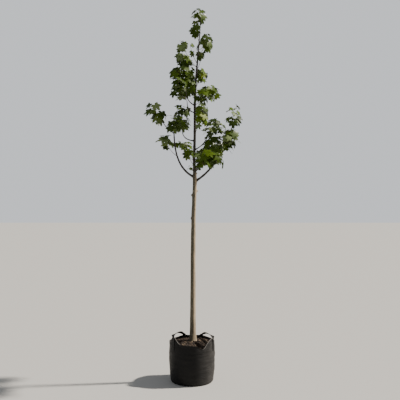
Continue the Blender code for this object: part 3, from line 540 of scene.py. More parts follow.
# ---- materials ----
MIX_NUMBERS = (2, 3)            # sockets of a Mix node: its two numbers, its two colours,
MIX_COLOURS = (6, 7)            # and the colour that comes out
MIX_RESULT = 2
DARK_BARK = (0.048, 0.046, 0.028)
BARK_SEAMS = (0.028, 0.026, 0.018)
CHIP_BROWNS = ((0.04, 0.022, 0.014), (0.018, 0.011, 0.008), (0.105, 0.064, 0.04),
               (0.078, 0.058, 0.045), (0.3, 0.225, 0.155))
CHIP_ODDS = (6, 6, 4, 3, 2)     # how often each brown falls to a piece of bark
TWIG_BROWN = (0.062, 0.044, 0.030)
BUD_BROWN = (0.085, 0.050, 0.028)
CUT_WOOD = (0.085, 0.070, 0.050)
WEBBING_LANE = 0.003            # width of a lane of the herringbone, and step of its ribs
WEBBING_RIB = 0.0016


def node(tree, kind, inputs=(), **values):
    """Shader node with values for its settings and its inputs."""
    made = tree.nodes.new(kind)
    for name, value in values.items():
        setattr(made, name, value)
    for name, value in dict(inputs).items():
        made.inputs[name].default_value = value
    return made


def link(tree, source, target):
    """Link an output (node, name) to an input (node, name)."""
    tree.links.new(source[0].outputs[source[1]], target[0].inputs[target[1]])


def feed(tree, source, made, socket):
    """Give an input a number, a colour or an output (node, name)."""
    if isinstance(source, float):
        made.inputs[socket].default_value = source
    elif isinstance(source[0], float):
        made.inputs[socket].default_value = (*source, 1.0)
    else:
        link(tree, source, (made, socket))


def new_finish(name, colour, roughness, **sockets):
    """Principled material and its parts: (material, tree, shader)."""
    made = bpy.data.materials.new(name)
    made.use_nodes = True
    tree = made.node_tree
    shader = tree.nodes["Principled BSDF"]
    shader.inputs["Base Color"].default_value = (*colour, 1.0)
    shader.inputs["Roughness"].default_value = roughness
    for socket, value in sockets.items():
        shader.inputs[socket.replace("_", " ")].default_value = value
    return made, tree, shader


def math_node(tree, operation, *sources):
    """Result of one or two sources, each a number or (node, output)."""
    made = node(tree, "ShaderNodeMath", operation=operation)
    for socket, source in enumerate(sources):
        feed(tree, source, made, socket)
    return made, 0


def blend_colours(tree, share, first, second):
    """Mix of two colours, each a colour or (node, output), by a linked share."""
    made = node(tree, "ShaderNodeMix", data_type='RGBA')
    link(tree, share, (made, 0))
    for socket, source in zip(MIX_COLOURS, (first, second)):
        feed(tree, source, made, socket)
    return made, MIX_RESULT


def object_noise(tree, scale, stretch=(1.0, 1.0, 1.0), detail=4.0, rough=0.55):
    """Noise over the piece's own coordinates, stretched by a mapping."""
    place = node(tree, "ShaderNodeTexCoord")
    mapping = node(tree, "ShaderNodeMapping", {"Scale": stretch})
    made = node(tree, "ShaderNodeTexNoise", {"Scale": scale, "Detail": detail,
                                            "Roughness": rough})
    link(tree, (place, "Object"), (mapping, "Vector"))
    link(tree, (mapping, "Vector"), (made, "Vector"))
    return made, "Fac"


def object_part(tree, axis):
    """One coordinate of the piece's own space as (node, output)."""
    place = node(tree, "ShaderNodeTexCoord")
    parts = node(tree, "ShaderNodeSeparateXYZ")
    link(tree, (place, "Object"), (parts, "Vector"))
    return parts, axis


def ranged(tree, source, low, high, start=0.0, end=1.0):
    """A value spread from start to end as the source goes from low to high."""
    made = node(tree, "ShaderNodeMapRange", {"From Min": low, "From Max": high,
                                            "To Min": start, "To Max": end})
    link(tree, source, (made, "Value"))
    return made, "Result"


def raise_by(tree, shader, height, strength, distance):
    """Bump of a height on a shader's normal."""
    made = node(tree, "ShaderNodeBump", {"Strength": strength, "Distance": distance})
    link(tree, height, (made, "Height"))
    link(tree, (made, "Normal"), (shader, "Normal"))


def shade(colour, factor):
    """The colour made darker or lighter by a factor."""
    return tuple(factor * part for part in colour)


def colour_by(tree, shader, grain, span, colour, factors):
    """Base colour that runs from one shade to another as the grain crosses its span."""
    first, second = (shade(colour, factor) for factor in factors)
    mixed = blend_colours(tree, ranged(tree, grain, *span), first, second)
    link(tree, mixed, (shader, "Base Color"))


def grained(name, colour, roughness, grain, span, factors, bump):
    """Finish of two shades of a colour, mixed and raised by one grain.

    The grain is (scale, detail, roughness), and the bump is (strength, distance).
    """
    made, tree, shader = new_finish(name, colour, roughness)
    scale, detail, rough = grain
    noise_out = object_noise(tree, scale, detail=detail, rough=rough)
    colour_by(tree, shader, noise_out, span, colour, factors)
    raise_by(tree, shader, noise_out, *bump)
    return made


def woven_fabric(settings):
    """Black woven tapes, a little dusty towards the ground, and lighter in streaks on the
    right side as painted sunlight."""
    made, tree, shader = new_finish("woven_bag_fabric", settings.fabric_colour, 0.55,
                                    Specular_IOR_Level=0.2)
    place = node(tree, "ShaderNodeUVMap", uv_map="UVMap")
    tapes = 1.0 / settings.tape_width
    mapping = node(tree, "ShaderNodeMapping", {"Scale": (tapes, tapes, 1.0)})
    link(tree, (place, "UV"), (mapping, "Vector"))
    parts = node(tree, "ShaderNodeSeparateXYZ")
    link(tree, (mapping, "Vector"), (parts, "Vector"))
    over = node(tree, "ShaderNodeTexChecker", {"Scale": 1.0})
    link(tree, (mapping, "Vector"), (over, "Vector"))
    weave = node(tree, "ShaderNodeMix", data_type='FLOAT')
    link(tree, (over, "Fac"), (weave, 0))
    for axis, socket in zip("XY", MIX_NUMBERS):
        angle = math_node(tree, 'MULTIPLY', (parts, axis), math.pi)
        wave = math_node(tree, 'SINE', angle)
        link(tree, math_node(tree, 'ABSOLUTE', wave), (weave, socket))
    raise_by(tree, shader, (weave, 0), 0.45, 0.0005)
    patches = object_noise(tree, 7.0, (1.0, 1.0, 2.2), 6.0, 0.62)
    low = ranged(tree, object_part(tree, "Z"), 0.0, 0.16, 0.34, 0.04)
    share = math_node(tree, 'MULTIPLY', low, ranged(tree, patches, 0.38, 0.72))
    dusty = blend_colours(tree, share, settings.fabric_colour, settings.dust_colour)
    streaks = object_noise(tree, 16.0, (0.5, 0.5, 9.0), 3.0, 0.6)
    # painted sunlight: the fabric turns lighter towards +X, in streaks
    sunny = ranged(tree, object_part(tree, "X"), 0.03, 0.17)
    painted_sun_mix = math_node(tree, 'MULTIPLY', sunny,
                         ranged(tree, streaks, 0.3, 0.66, 0.35, 1.0))
    final = blend_colours(tree, painted_sun_mix, dusty, settings.painted_sunlight_colour)
    link(tree, final, (shader, "Base Color"))
    link(tree, ranged(tree, streaks, 0.3, 0.7, 0.44, 0.62), (shader, "Roughness"))
    return made


def rim_with_painted_highlight(settings):
    """Edge of the hem: black, with a painted highlight on the sides where the handles pull it up."""
    made, tree, shader = new_finish("worn_rim", settings.fabric_colour, 0.72,
                                    Specular_IOR_Level=0.2)
    # painted highlight: the edge turns light where |X| passes about 0.1, at both ears
    sideways = math_node(tree, 'ABSOLUTE', object_part(tree, "X"))
    painted_lit_share = ranged(tree, sideways, 0.095, 0.125)
    colour = blend_colours(tree, painted_lit_share, settings.fabric_colour, settings.rim_highlight_colour)
    link(tree, colour, (shader, "Base Color"))
    raise_by(tree, shader, object_noise(tree, 500.0, detail=2.0), 0.4, 0.0002)
    return made


def plain_thread(name, colour):
    """Sewing thread with a fine twist."""
    return grained(name, colour, 0.72, (900.0, 2.0, 0.55), (0.35, 0.65), (0.55, 1.0),
                   (0.4, 0.0002))


def webbing(settings):
    """Herringbone webbing: ribs along the strap that zigzag across it."""
    made, tree, shader = new_finish("strap_webbing", settings.webbing_colour, 0.62,
                                    Specular_IOR_Level=0.35)
    place = node(tree, "ShaderNodeUVMap", uv_map="UVMap")
    parts = node(tree, "ShaderNodeSeparateXYZ")
    link(tree, (place, "UV"), (parts, "Vector"))
    lane = math_node(tree, 'PINGPONG', (parts, "X"), WEBBING_LANE)
    slant = math_node(tree, 'ADD', (parts, "Y"), lane)
    turns = math_node(tree, 'MULTIPLY', slant, math.tau / WEBBING_RIB)
    raise_by(tree, shader, math_node(tree, 'SINE', turns), 0.5, 0.0003)
    fuzz = object_noise(tree, 240.0, detail=3.0)
    colour_by(tree, shader, fuzz, (0.35, 0.7), settings.webbing_colour, (1.0, 2.1))
    return made


def bark_chip(number):
    """One of the browns of the bark pieces."""
    return grained("bark_chip_%d" % number, CHIP_BROWNS[number], 0.86, (160.0, 5.0, 0.65),
                   (0.32, 0.62), (0.45, 1.0), (0.6, 0.0012))


def soil(settings):
    """Fine dark compost with lighter crumbs."""
    return grained("fine_compost", settings.soil_colour, 0.93, (210.0, 8.0, 0.7),
                   (0.42, 0.72), (1.0, 3.2), (0.9, 0.003))


def stem_bark(settings):
    """Grey olive bark with pale flecks and dark seams, lighter on its right side as painted
    sunlight, and dark in the crown as painted shade."""
    made, tree, shader = new_finish("trunk_bark", settings.trunk_colour, 0.78)
    patches = object_noise(tree, 26.0, (1.0, 1.0, 0.3), 6.0, 0.62)
    mottled = blend_colours(tree, ranged(tree, patches, 0.34, 0.64), DARK_BARK,
                            settings.trunk_colour)
    flecks = object_noise(tree, 150.0, (1.0, 1.0, 0.6), 3.0, 0.7)
    flecked = blend_colours(tree, ranged(tree, flecks, 0.56, 0.7, 0.0, 0.75), mottled,
                            settings.lichen_colour)
    seams = object_noise(tree, 46.0, (1.0, 1.0, 0.1), 5.0, 0.6)
    seamed = blend_colours(tree, ranged(tree, seams, 0.3, 0.42, 0.8, 0.0), flecked, BARK_SEAMS)
    # painted sunlight: the bark turns lighter towards +X, the line following the stem's lean
    lean = math_node(tree, 'MULTIPLY', ranged(tree, object_part(tree, "Z"), 1.2, 1.95), -0.017)
    aside = math_node(tree, 'ADD', object_part(tree, "X"), lean)
    sunny = ranged(tree, aside, 0.01, 0.024)
    spread = math_node(tree, 'MULTIPLY', sunny, ranged(tree, patches, 0.3, 0.52, 0.45, 1.0))
    bark_with_painted_sun = blend_colours(tree, spread, seamed, settings.painted_sun_bark_colour)
    # painted shade: from about 1.95 m to 2.22 m up, the stem turns to the dark crown colour
    wander = math_node(tree, 'MULTIPLY', patches, 0.16)
    level = math_node(tree, 'ADD', object_part(tree, "Z"), wander)
    crown = blend_colours(tree, ranged(tree, flecks, 0.45, 0.75), settings.crown_shade_colour,
                          shade(settings.crown_shade_colour, 2.3))
    final = blend_colours(tree, ranged(tree, level, 1.95, 2.22), bark_with_painted_sun, crown)
    link(tree, final, (shader, "Base Color"))
    raise_by(tree, shader, math_node(tree, 'ADD', seams, flecks), 0.55, 0.0016)
    return made


def young_bark(name, colour, light_share):
    """Dark smooth bark of boughs and twigs, with pale pores."""
    return grained(name, colour, 0.58, (330.0, 3.0, 0.6), (0.5, 0.74, 0.0, light_share),
                   (1.0, 3.4), (0.35, 0.0006))


def leaf_finish(name, colour, roughness):
    """One green: slightly mottled, with the fine swell between small veins."""
    made, tree, shader = new_finish(name, colour, roughness, Specular_IOR_Level=0.16)
    mottle = object_noise(tree, 55.0, rough=0.6)
    colour_by(tree, shader, mottle, (0.34, 0.6), colour, (0.68, 1.0))
    raise_by(tree, shader, object_noise(tree, 260.0, detail=2.0), 0.3, 0.0009)
    return made


# ---- bag ----
def rim_wave(bearing):
    """Rise of the rim above its level at a bearing, from ears and the slack front."""
    return sum(height * bump_round(bearing, middle, spread)
               for middle, spread, height in RIM_BUMPS)


def bag_radius(height):
    """Outer radius of the wall at a height above the rounded edge."""
    level = (height - BAG_EDGE_ROUND) / (BAG_HEIGHT - BAG_EDGE_ROUND)
    bulge = math.sin(math.pi * level)
    straight = BAG_BASE_RADIUS + (BAG_RIM_RADIUS - BAG_BASE_RADIUS) * level
    middle = 0.5 * (BAG_BASE_RADIUS + BAG_RIM_RADIUS)
    return straight + (BAG_RADIUS - middle) * bulge


def wavy(point, lift=True):
    """Move a point with the rim's waves, fading out down the wall; without lift only
    the slack dip is followed."""
    share = smooth(WAVE_START, 1.0, point.z / BAG_HEIGHT)
    wave = rim_wave(bearing_of(point))
    if not lift:
        wave = min(wave, 0.0)
    return Vector((point.x, point.y, point.z + wave * share))


def bag_outline(base, inset, top, bands):
    """Outline from the base up the wall to a height, moved in from it."""
    corner = BAG_BASE_RADIUS - BAG_EDGE_ROUND
    outline = [(corner * 0.5, base), (corner, base)]
    for angle in (18.0, 36.0, 54.0, 72.0):
        turn = math.radians(angle)
        outline.append((corner + (BAG_EDGE_ROUND - inset) * math.sin(turn),
                        BAG_EDGE_ROUND - (BAG_EDGE_ROUND - base) * math.cos(turn)))
    for step in range(bands + 1):
        height = BAG_EDGE_ROUND + (top - BAG_EDGE_ROUND) * step / bands
        outline.append((bag_radius(height) - inset, height))
    return outline


def slack(point, depth):
    """How far the loose wall stands out or in at a point of the upright bag."""
    bearing = bearing_of(point)
    legs = [leg for handle in HANDLES.values() for leg in handle["legs"]]
    held = max(bump_round(bearing, leg, LEG_HOLD) for leg in legs)
    held *= smooth(0.24, 0.30, point.z)
    loose = 0.35 + 0.65 * bump_round(bearing, *SLACK_FRONT)
    inside = smooth(0.015, 0.05, point.z)
    turn = compass(bearing)
    rolls = swell(turn.x * 1.7, turn.y * 1.7, point.z * 34.0)
    waves = swell(turn.x * 4.0 + 9.0, turn.y * 4.0, point.z * 11.0)
    total = depth * loose * (2.3 * rolls + 1.3 * waves)
    for middle, height, spread, lean, half, fold in FOLDS:
        away = turn_between(bearing, middle)
        line = height + lean * away
        total += fold * bump_at(away, 0.0, spread) * bump_at(point.z, line, half)
    return total * (1.0 - held) * inside


def fabric_point(point, depth):
    """Place on the hanging fabric of a point of the upright bag."""
    out = Vector((point.x, point.y, 0.0)).normalized()
    if point.xy.length < 0.9 * BAG_BASE_RADIUS:
        return Vector(point)
    return wavy(point) + out * slack(point, depth)


def make_bag(settings):
    """Fabric shell with a rounded foot, a loose wall and a hem folded over the rim."""
    thick = settings.fabric_thickness
    bands = round((BAG_HEIGHT - BAG_EDGE_ROUND) / BAG_RING_STEP)
    outline = bag_outline(0.0, 0.0, BAG_HEIGHT - 0.5 * thick, bands)
    outline.append((BAG_RIM_RADIUS + 0.5 * HEM_OFFSET, BAG_HEIGHT))
    for share in (0.0, 0.15, 0.5, 0.86, 1.0):
        outline.append((BAG_RIM_RADIUS + HEM_OFFSET,
                        BAG_HEIGHT - 0.5 * thick - share * settings.hem_depth))
    bag = rings_up("planter_bag_fabric", outline, BAG_RING_VERTS)
    close_up()
    edit = bmesh.new()
    edit.from_mesh(bag.data)
    base = [face for face in edit.faces if face.calc_center_median().z < 0.5 * BAG_EDGE_ROUND]
    if sum(face.normal.z for face in base) > 0.0:
        bmesh.ops.reverse_faces(edit, faces=edit.faces)
    edit.to_mesh(bag.data)
    edit.free()
    for vert in bag.data.vertices:
        vert.co = fabric_point(vert.co, settings.wrinkle_depth)
    apply_modifier(bag, 'SUBSURF', levels=1, render_levels=1)
    apply_modifier(bag, 'SOLIDIFY', thickness=thick, offset=-1.0)
    lay_uv(bag, bag_uv)
    smooth_faces(bag, 50.0)
    finish_piece(bag, [woven_fabric(settings)], "bag_fabric", "planter_bag")
    make_hem_seam(settings)


def bag_uv(point, middle):
    """Fabric coordinates in metres: round the wall and up it."""
    if middle.xy.length < 0.8 * BAG_BASE_RADIUS and middle.z < BAG_EDGE_ROUND:
        return point.x, point.y
    home = bearing_of(middle)
    around = home + turn_between(bearing_of(point), home)
    return math.radians(around) * BAG_RADIUS, point.z


def rim_point(bearing, drop, off):
    """Point on the outer face of the hem, below the rim by a drop."""
    height = BAG_HEIGHT - drop
    stand = slack(compass(bearing, BAG_RIM_RADIUS, height),
                  bpy.context.scene.maple_bag.wrinkle_depth)
    return wavy(compass(bearing, BAG_RIM_RADIUS + off, height)) + compass(bearing, stand)


def make_hem_seam(settings):
    """Piping of the folded edge and the row of stitches that holds the hem."""
    top = ring_piece("rim_binding", [rim_point(step * 2.5, 0.0004, 0.0004)
                                     for step in range(144)], 0.0019, 6)
    finish_piece(top, [rim_with_painted_highlight(settings)], "bag_fabric")
    stitches = []
    off = HEM_OFFSET + settings.fabric_thickness + 0.0001
    step = math.degrees(HEM_STITCH / BAG_RIM_RADIUS)
    for number in range(int(360.0 / step)):
        start, stop = (rim_point((number + share) * step, settings.hem_depth - HEM_SEAM, off)
                       for share in (0.0, 0.66))
        stitches.append((start, stop, compass(number * step)))
    thread = stitch_piece("hem_stitches", stitches)
    finish_piece(thread, [plain_thread("hem_thread", (0.06, 0.06, 0.062))], "bag_fabric")


# ---- shapes as arrays ----
def unit_tube(name, verts, cuts):
    """Tube of unit radius from height 0 to 1 with even rings and closed ends."""
    item = start_piece(name, "cylinder", vertices=verts, radius=1.0, depth=1.0,
                       end_fill_type='TRIFAN')
    bpy.ops.transform.translate(value=(0.0, 0.0, 0.5))
    for count in cuts:
        bpy.ops.mesh.select_all(action='DESELECT')
        edit = bmesh.from_edit_mesh(item.data)
        for edge in edit.edges:
            low, high = (vert.co for vert in edge.verts)
            edge.select = abs(low.z - high.z) > 1e-4 and low.xy.length > 0.5
        bmesh.update_edit_mesh(item.data)
        bpy.ops.mesh.subdivide(number_cuts=count)
    close_up()
    return item


def take_shape(item):
    """Points and faces of an object, which is then removed."""
    points = np.array([vert.co[:] for vert in item.data.vertices])
    faces = [tuple(face.vertices) for face in item.data.polygons]
    bpy.data.objects.remove(item)
    return points, faces


@lru_cache(maxsize=None)
def tube_shape(verts, rings):
    """Unit tube kept as arrays; modelled once for each count of corners and rings."""
    return take_shape(unit_tube("tube", verts, [rings - 2]))


def frames_along(points, closed=False):
    """Directions across a line at each point: two arrays of unit vectors."""
    points = [Vector(point) for point in points]
    count = len(points)
    sides = []
    tops = []
    side = None
    for index in range(count):
        after = points[(index + 1) % count] if closed else points[min(index + 1, count - 1)]
        before = points[index - 1] if closed or index else points[0]
        ahead = (after - before).normalized()
        if side is None:
            side = ahead.orthogonal().normalized() if abs(ahead.z) < 0.9 else Vector((1, 0, 0))
        side = (side - ahead * side.dot(ahead)).normalized()
        sides.append(side[:])
        tops.append(ahead.cross(side)[:])
    return np.array(sides), np.array(tops)


def tube_arrays(points, radii, verts, relief=None):
    """Points and faces of a tapering limb through points, with closed ends."""
    unit, faces = tube_shape(verts, len(points))
    line = np.array([tuple(point) for point in points])
    sides, tops = frames_along(points)
    place = unit[:, 2] * (len(points) - 1)
    index = np.rint(place).astype(int)
    wide = np.array(radii)[index]
    if relief is not None:
        angle = np.arctan2(unit[:, 1], unit[:, 0])
        wide = wide * np.array([relief(i, a) for i, a in zip(index, angle)])
    made = (line[index] + sides[index] * (unit[:, 0] * wide)[:, None]
            + tops[index] * (unit[:, 1] * wide)[:, None])
    return made, faces


def mesh_piece(name, parts):
    """Object of many (points, faces, finish number) joined in one mesh."""
    points = []
    faces = []
    finishes = []
    start = 0
    for part_points, part_faces, finish in parts:
        points.append(part_points)
        faces.extend(tuple(corner + start for corner in face) for face in part_faces)
        if isinstance(finish, int):
            finish = [finish] * len(part_faces)
        finishes.extend(finish)
        start += len(part_points)
    mesh = bpy.data.meshes.new(name)
    mesh.from_pydata(np.concatenate(points).tolist(), [], faces)
    mesh.polygons.foreach_set("material_index", finishes)
    mesh.update()
    item = bpy.data.objects.new(name, mesh)
    bpy.context.scene.collection.objects.link(item)
    return item


def ring_piece(name, points, radius, verts):
    """Cord-like trim round a closed line, as a piece."""
    sides, tops = frames_along(points, closed=True)
    angles = [math.tau * corner / verts for corner in range(verts)]
    rings = [np.array(point) + radius * (side * math.cos(angle) + top * math.sin(angle))
             for point, side, top in zip(points, sides, tops) for angle in angles]
    count = len(points)
    faces = []
    for ring in range(count):
        here = ring * verts
        there = (ring + 1) % count * verts
        for corner in range(verts):
            after = (corner + 1) % verts
            faces.append((here + corner, there + corner, there + after, here + after))
    item = mesh_piece(name, [(np.array(rings), faces, 0)])
    only(item)
    bpy.ops.object.mode_set(mode='EDIT')
    close_up()
    smooth_faces(item, 80.0)
    return item


@lru_cache(maxsize=None)
def stitch_shape():
    """One stitch: a small rounded bead, a unit long along X and as wide as high."""
    item = start_piece("stitch", "uv_sphere", segments=6, ring_count=4, radius=0.5)
    bpy.ops.transform.rotate(value=math.radians(90.0), orient_axis='Y',
                             center_override=(0.0, 0.0, 0.0))
    close_up()
    return take_shape(item)


def stitch_piece(name, stitches, width=0.0009):
    """Stitches, each from a start to a stop on a face that looks out, in one mesh."""
    unit, faces = stitch_shape()
    parts = []
    for start, stop, out in stitches:
        along = stop - start
        side = out.cross(along).normalized()
        up = along.normalized().cross(side)
        place = np.array([(along * 1.05)[:], (side * width)[:], (up * width)[:]])
        parts.append((unit @ place + np.array(((start + stop) * 0.5)[:]), faces, 0))
    item = mesh_piece(name, parts)
    smooth_faces(item, 80.0)
    return item


# ---- handles ----
def strap_stations(legs, arch, thick):
    """Route of a strap: leg, arch along the chord, leg, with its width lines."""
    across = compass(0.5 * (legs[0] + legs[1]))
    offs = [0.5 * thick + clear for clear in
            (STRAP_FOOT_CLEAR, 0.5 * (STRAP_FOOT_CLEAR + STRAP_RIM_CLEAR), STRAP_RIM_CLEAR)]
    ends = [compass(leg, BAG_RIM_RADIUS + offs[2]) for leg in legs]
    route = []
    for leg in legs:
        width = compass(leg + 90.0)
        if width.dot(across) < 0.0:
            width.negate()
        side = []
        for off, drop in zip(offs, (STRAP_LEG, 0.5 * STRAP_LEG, 0.0)):
            height = BAG_HEIGHT - drop
            side.append((wavy(compass(leg, bag_radius(height) + off, height)), width))
        route.append(side)
    over = []
    for share, height, bow, tilt in arch:
        point = ends[0].lerp(ends[1], share) + across * bow
        turn = math.radians(tilt)
        over.append((Vector((point.x, point.y, height)),
                     across * math.cos(turn) - UP * math.sin(turn)))
    return route[0] + over + route[1][::-1]


def spline_point(points, share):
    """Point of a Catmull-Rom curve through points at a share of their count."""
    place = share * (len(points) - 1)
    index = min(int(place), len(points) - 2)
    step = place - index
    before = points[max(index - 1, 0)]
    start = points[index]
    stop = points[index + 1]
    after = points[min(index + 2, len(points) - 1)]
    return 0.5 * (2.0 * start + (stop - before) * step
                  + (2.0 * before - 5.0 * start + 4.0 * stop - after) * step ** 2
                  + (3.0 * start - before - 3.0 * stop + after) * step ** 3)


def make_handle(name, handle, settings, finish, thread):
    """Webbing strap bent along its route, its edges rounded, its legs sewn on."""
    stations = strap_stations(handle["legs"], handle["arch"], settings.strap_thickness)
    points = [point for point, width in stations]
    widths = [width for point, width in stations]
    strap = start_piece(name + "_strap", "grid", x_subdivisions=STRAP_RINGS,
                        y_subdivisions=STRAP_LANES, size=2.0)
    bpy.ops.object.mode_set(mode='OBJECT')
    length = sum((b - a).length for a, b in zip(points, points[1:]))
    flat = {}
    for vert in strap.data.vertices:
        share = 0.5 * (vert.co.x + 1.0)
        side = vert.co.y
        flat[vert.index] = (side * 0.5 * STRAP_WIDTH, share * length)
        middle = spline_point(points, share)
        width = spline_point(widths, share).normalized()
        vert.co = middle + width * side * STRAP_WIDTH * 0.5
    layer = strap.data.uv_layers.active or strap.data.uv_layers.new(name="UVMap")
    layer.name = "UVMap"
    for loop in strap.data.loops:
        layer.data[loop.index].uv = flat[loop.vertex_index]
    apply_modifier(strap, 'SOLIDIFY', thickness=settings.strap_thickness, offset=0.0,
                   use_even_offset=False)
    apply_modifier(strap, 'BEVEL', width=0.0004, segments=2, limit_method='ANGLE')
    smooth_faces(strap, 45.0)
    finish_piece(strap, [finish], "webbing", name)
    sewn = stitch_piece(name + "_stitches", leg_stitches(handle["legs"], settings))
    finish_piece(sewn, [thread], "webbing")


def leg_stitches(legs, settings):
    """Box with a cross, sewn through each leg of a strap at the hem and at its foot."""
    found = []
    half = 0.5 * STRAP_WIDTH - 0.0025
    thick = settings.strap_thickness
    for leg in legs:
        side = compass(leg + 90.0)
        out = compass(leg)

        def place(across, drop):
            share = drop / STRAP_LEG
            clear = STRAP_RIM_CLEAR + (STRAP_FOOT_CLEAR - STRAP_RIM_CLEAR) * share
            height = BAG_HEIGHT - drop
            middle = wavy(compass(leg, bag_radius(height) + clear + thick, height))
            return middle + side * across

        for top in (BOX_DROP, STRAP_LEG - BOX_DEPTH - FOOT_DROP):
            low = top + BOX_DEPTH
            a, b, c, d = (Vector(corner) for corner in ((-half, top), (half, top),
                                                        (half, low), (-half, low)))
            for begin, end in ((a, b), (b, c), (c, d), (d, a), (a, c), (b, d)):
                count = int((end - begin).length / (settings.stitch_length * 1.35))
                for number in range(count):
                    start, stop = (place(*begin.lerp(end, (number + share) / count))
                                   for share in (0.13, 0.87))
                    found.append((start, stop, out))
    return found


# ---- compost ----
def mound_height(radius):
    """Height of the smooth mound at a distance from its middle."""
    edge = bag_radius(COMPOST_EDGE)
    share = (edge - radius) / (edge - COMPOST_SEAT)
    return COMPOST_EDGE + (COMPOST_TOP - COMPOST_EDGE) * smooth(0.0, 1.0, share)


def mound_point(x, y, lumps):
    """Point of the lumpy mound above a place on the floor."""
    radius = math.hypot(x, y)
    level = mound_height(radius)
    near_trunk = smooth(0.02, 0.06, radius)
    lump = noise.fractal(Vector((x * 30.0, y * 30.0, 3.0)), 0.8, 2.1, 4)
    fine = swell(x * 170.0, y * 170.0, 8.0)
    point = Vector((x, y, level))
    if radius > COMPOST_SEAT:
        point = wavy(point, lift=False)
    point.z += (lumps * (0.55 * lump + 0.28 * fine)) * (0.4 + 0.6 * near_trunk)
    return point


def chip_shapes():
    """Three bark pieces, each a box cut askew and pinched: points and faces."""
    made = []
    draw = random.Random("chips")
    for number in range(3):
        item = start_piece("chip", "cube", size=1.0)
        bpy.ops.mesh.bisect(plane_co=(0.34, 0.1 * number, 0.0),
                            plane_no=(1.0, 0.5 - 0.45 * number, 0.35), use_fill=True,
                            clear_outer=True)
        bpy.ops.mesh.select_all(action='SELECT')
        bpy.ops.mesh.bisect(plane_co=(-0.36, 0.0, 0.0), plane_no=(-1.0, 0.4 * number - 0.3, 0.2),
                            use_fill=True, clear_outer=True)
        close_up()
        points, faces = take_shape(item)
        jitter = np.array([[draw.uniform(-0.13, 0.13) for axis in range(3)]
                           for point in points])
        made.append((points + jitter, faces))
    return made


def make_compost(settings):
    """Mound of fine compost that fills the bag, with bark pieces strewn over it."""
    lumps = settings.lump_height
    outline = bag_outline(0.0037, 0.0058, 0.300, 8)
    wall = bpy.context.scene.maple_bag.wrinkle_depth
    edge = bag_radius(COMPOST_EDGE) - 0.0022
    outline.append((bag_radius(0.335) - 0.0030, 0.335))
    steps = 30
    for step in range(steps + 1):
        radius = edge * (1.0 - step / steps) + 0.012 * step / steps
        outline.append((radius, mound_height(radius) if step else COMPOST_EDGE))
    mound = rings_up("potting_compost_mound", outline, 120)
    bpy.ops.mesh.edge_face_add()
    close_up()
    for vert in mound.data.vertices:
        radius = vert.co.xy.length
        if vert.co.z < 0.3599:
            vert.co = wavy(vert.co, lift=False)
            continue
        point = mound_point(vert.co.x, vert.co.y, lumps)
        rim = smooth(edge - 0.02, edge, radius)
        upright = Vector((vert.co.x, vert.co.y, COMPOST_EDGE))
        push = min(0.0, slack(upright, wall)) * rim
        vert.co = point + compass(bearing_of(point)) * push
    smooth_faces(mound, 60.0)
    finish_piece(mound, [soil(settings)], "compost", "potting_compost")
    shapes = chip_shapes()
    draw = random.Random("strewn")
    parts = []
    for number in range(settings.chip_count):
        radius = (edge - 0.008) * math.sqrt(draw.uniform(0.012, 1.0))
        place = compass(draw.uniform(0.0, 360.0), radius)
        if (place - Vector((0.006, 0.0, 0.0))).length < 0.036:
            continue
        ground = mound_point(place.x, place.y, lumps)
        long = settings.chip_length * draw.choice((0.45, 0.6, 0.8, 1.0, 1.5))
        scale = (long, long * draw.uniform(0.28, 0.6), long * draw.uniform(0.10, 0.24))
        turn = (Matrix.Rotation(draw.uniform(0.0, math.tau), 3, 'Z')
                @ Matrix.Rotation(draw.gauss(0.0, 0.30), 3, 'Y')
                @ Matrix.Rotation(draw.gauss(0.0, 0.35), 3, 'X'))
        points, faces = draw.choice(shapes)
        room = smooth(edge - 0.001, edge - 0.02, radius)
        lifted = np.array(turn @ Matrix.Diagonal(scale))
        centre = np.array((ground + UP * (0.30 * scale[2] + 0.0006 * room))[:])
        kind = draw.choices(range(len(CHIP_BROWNS)), CHIP_ODDS)[0]
        parts.append((points @ lifted.T + centre, faces, kind))
    chips = mesh_piece("bark_chips", parts)
    finish_piece(chips, [bark_chip(number) for number in range(len(CHIP_BROWNS))], "compost")


# ---- limbs ----
OLD_NODES = 12                  # low rings on the trunk's upper part and on each bough


def trunk_at(height):
    """Centre and radius of the trunk at a height."""
    heights = [station[0] for station in TRUNK_STATIONS]
    height = min(max(height, heights[0]), heights[-1])
    index = max(i for i in range(len(heights) - 1) if heights[i] <= height)
    low = TRUNK_STATIONS[index]
    high = TRUNK_STATIONS[index + 1]
    share = (height - low[0]) / (high[0] - low[0])
    mixed = [a + (b - a) * share for a, b in zip(low, high)]
    return Vector((mixed[1], mixed[2], height)), 0.5 * mixed[3]


def sweep(foot, spec, start, end, steps=BOUGH_STEPS):
    """Centre line of a bough: it leaves sideways and bends upward by a power law."""
    points = []
    for step in range(steps + 1):
        share = start + (end - start) * step / steps
        away = spec.reach * (1.0 - (1.0 - share) ** spec.curl)
        points.append(foot + compass(spec.bearing, away, spec.rise * share ** spec.lift))
    return points


def taper(thick, start, end, steps, shrink=0.0):
    """Radii that fall evenly from foot to tip over a stretch of the bough."""
    shares = [start + (end - start) * step / steps for step in range(steps + 1)]
    return [0.5 * (thick[0] + (thick[1] - thick[0]) * share) - shrink for share in shares]


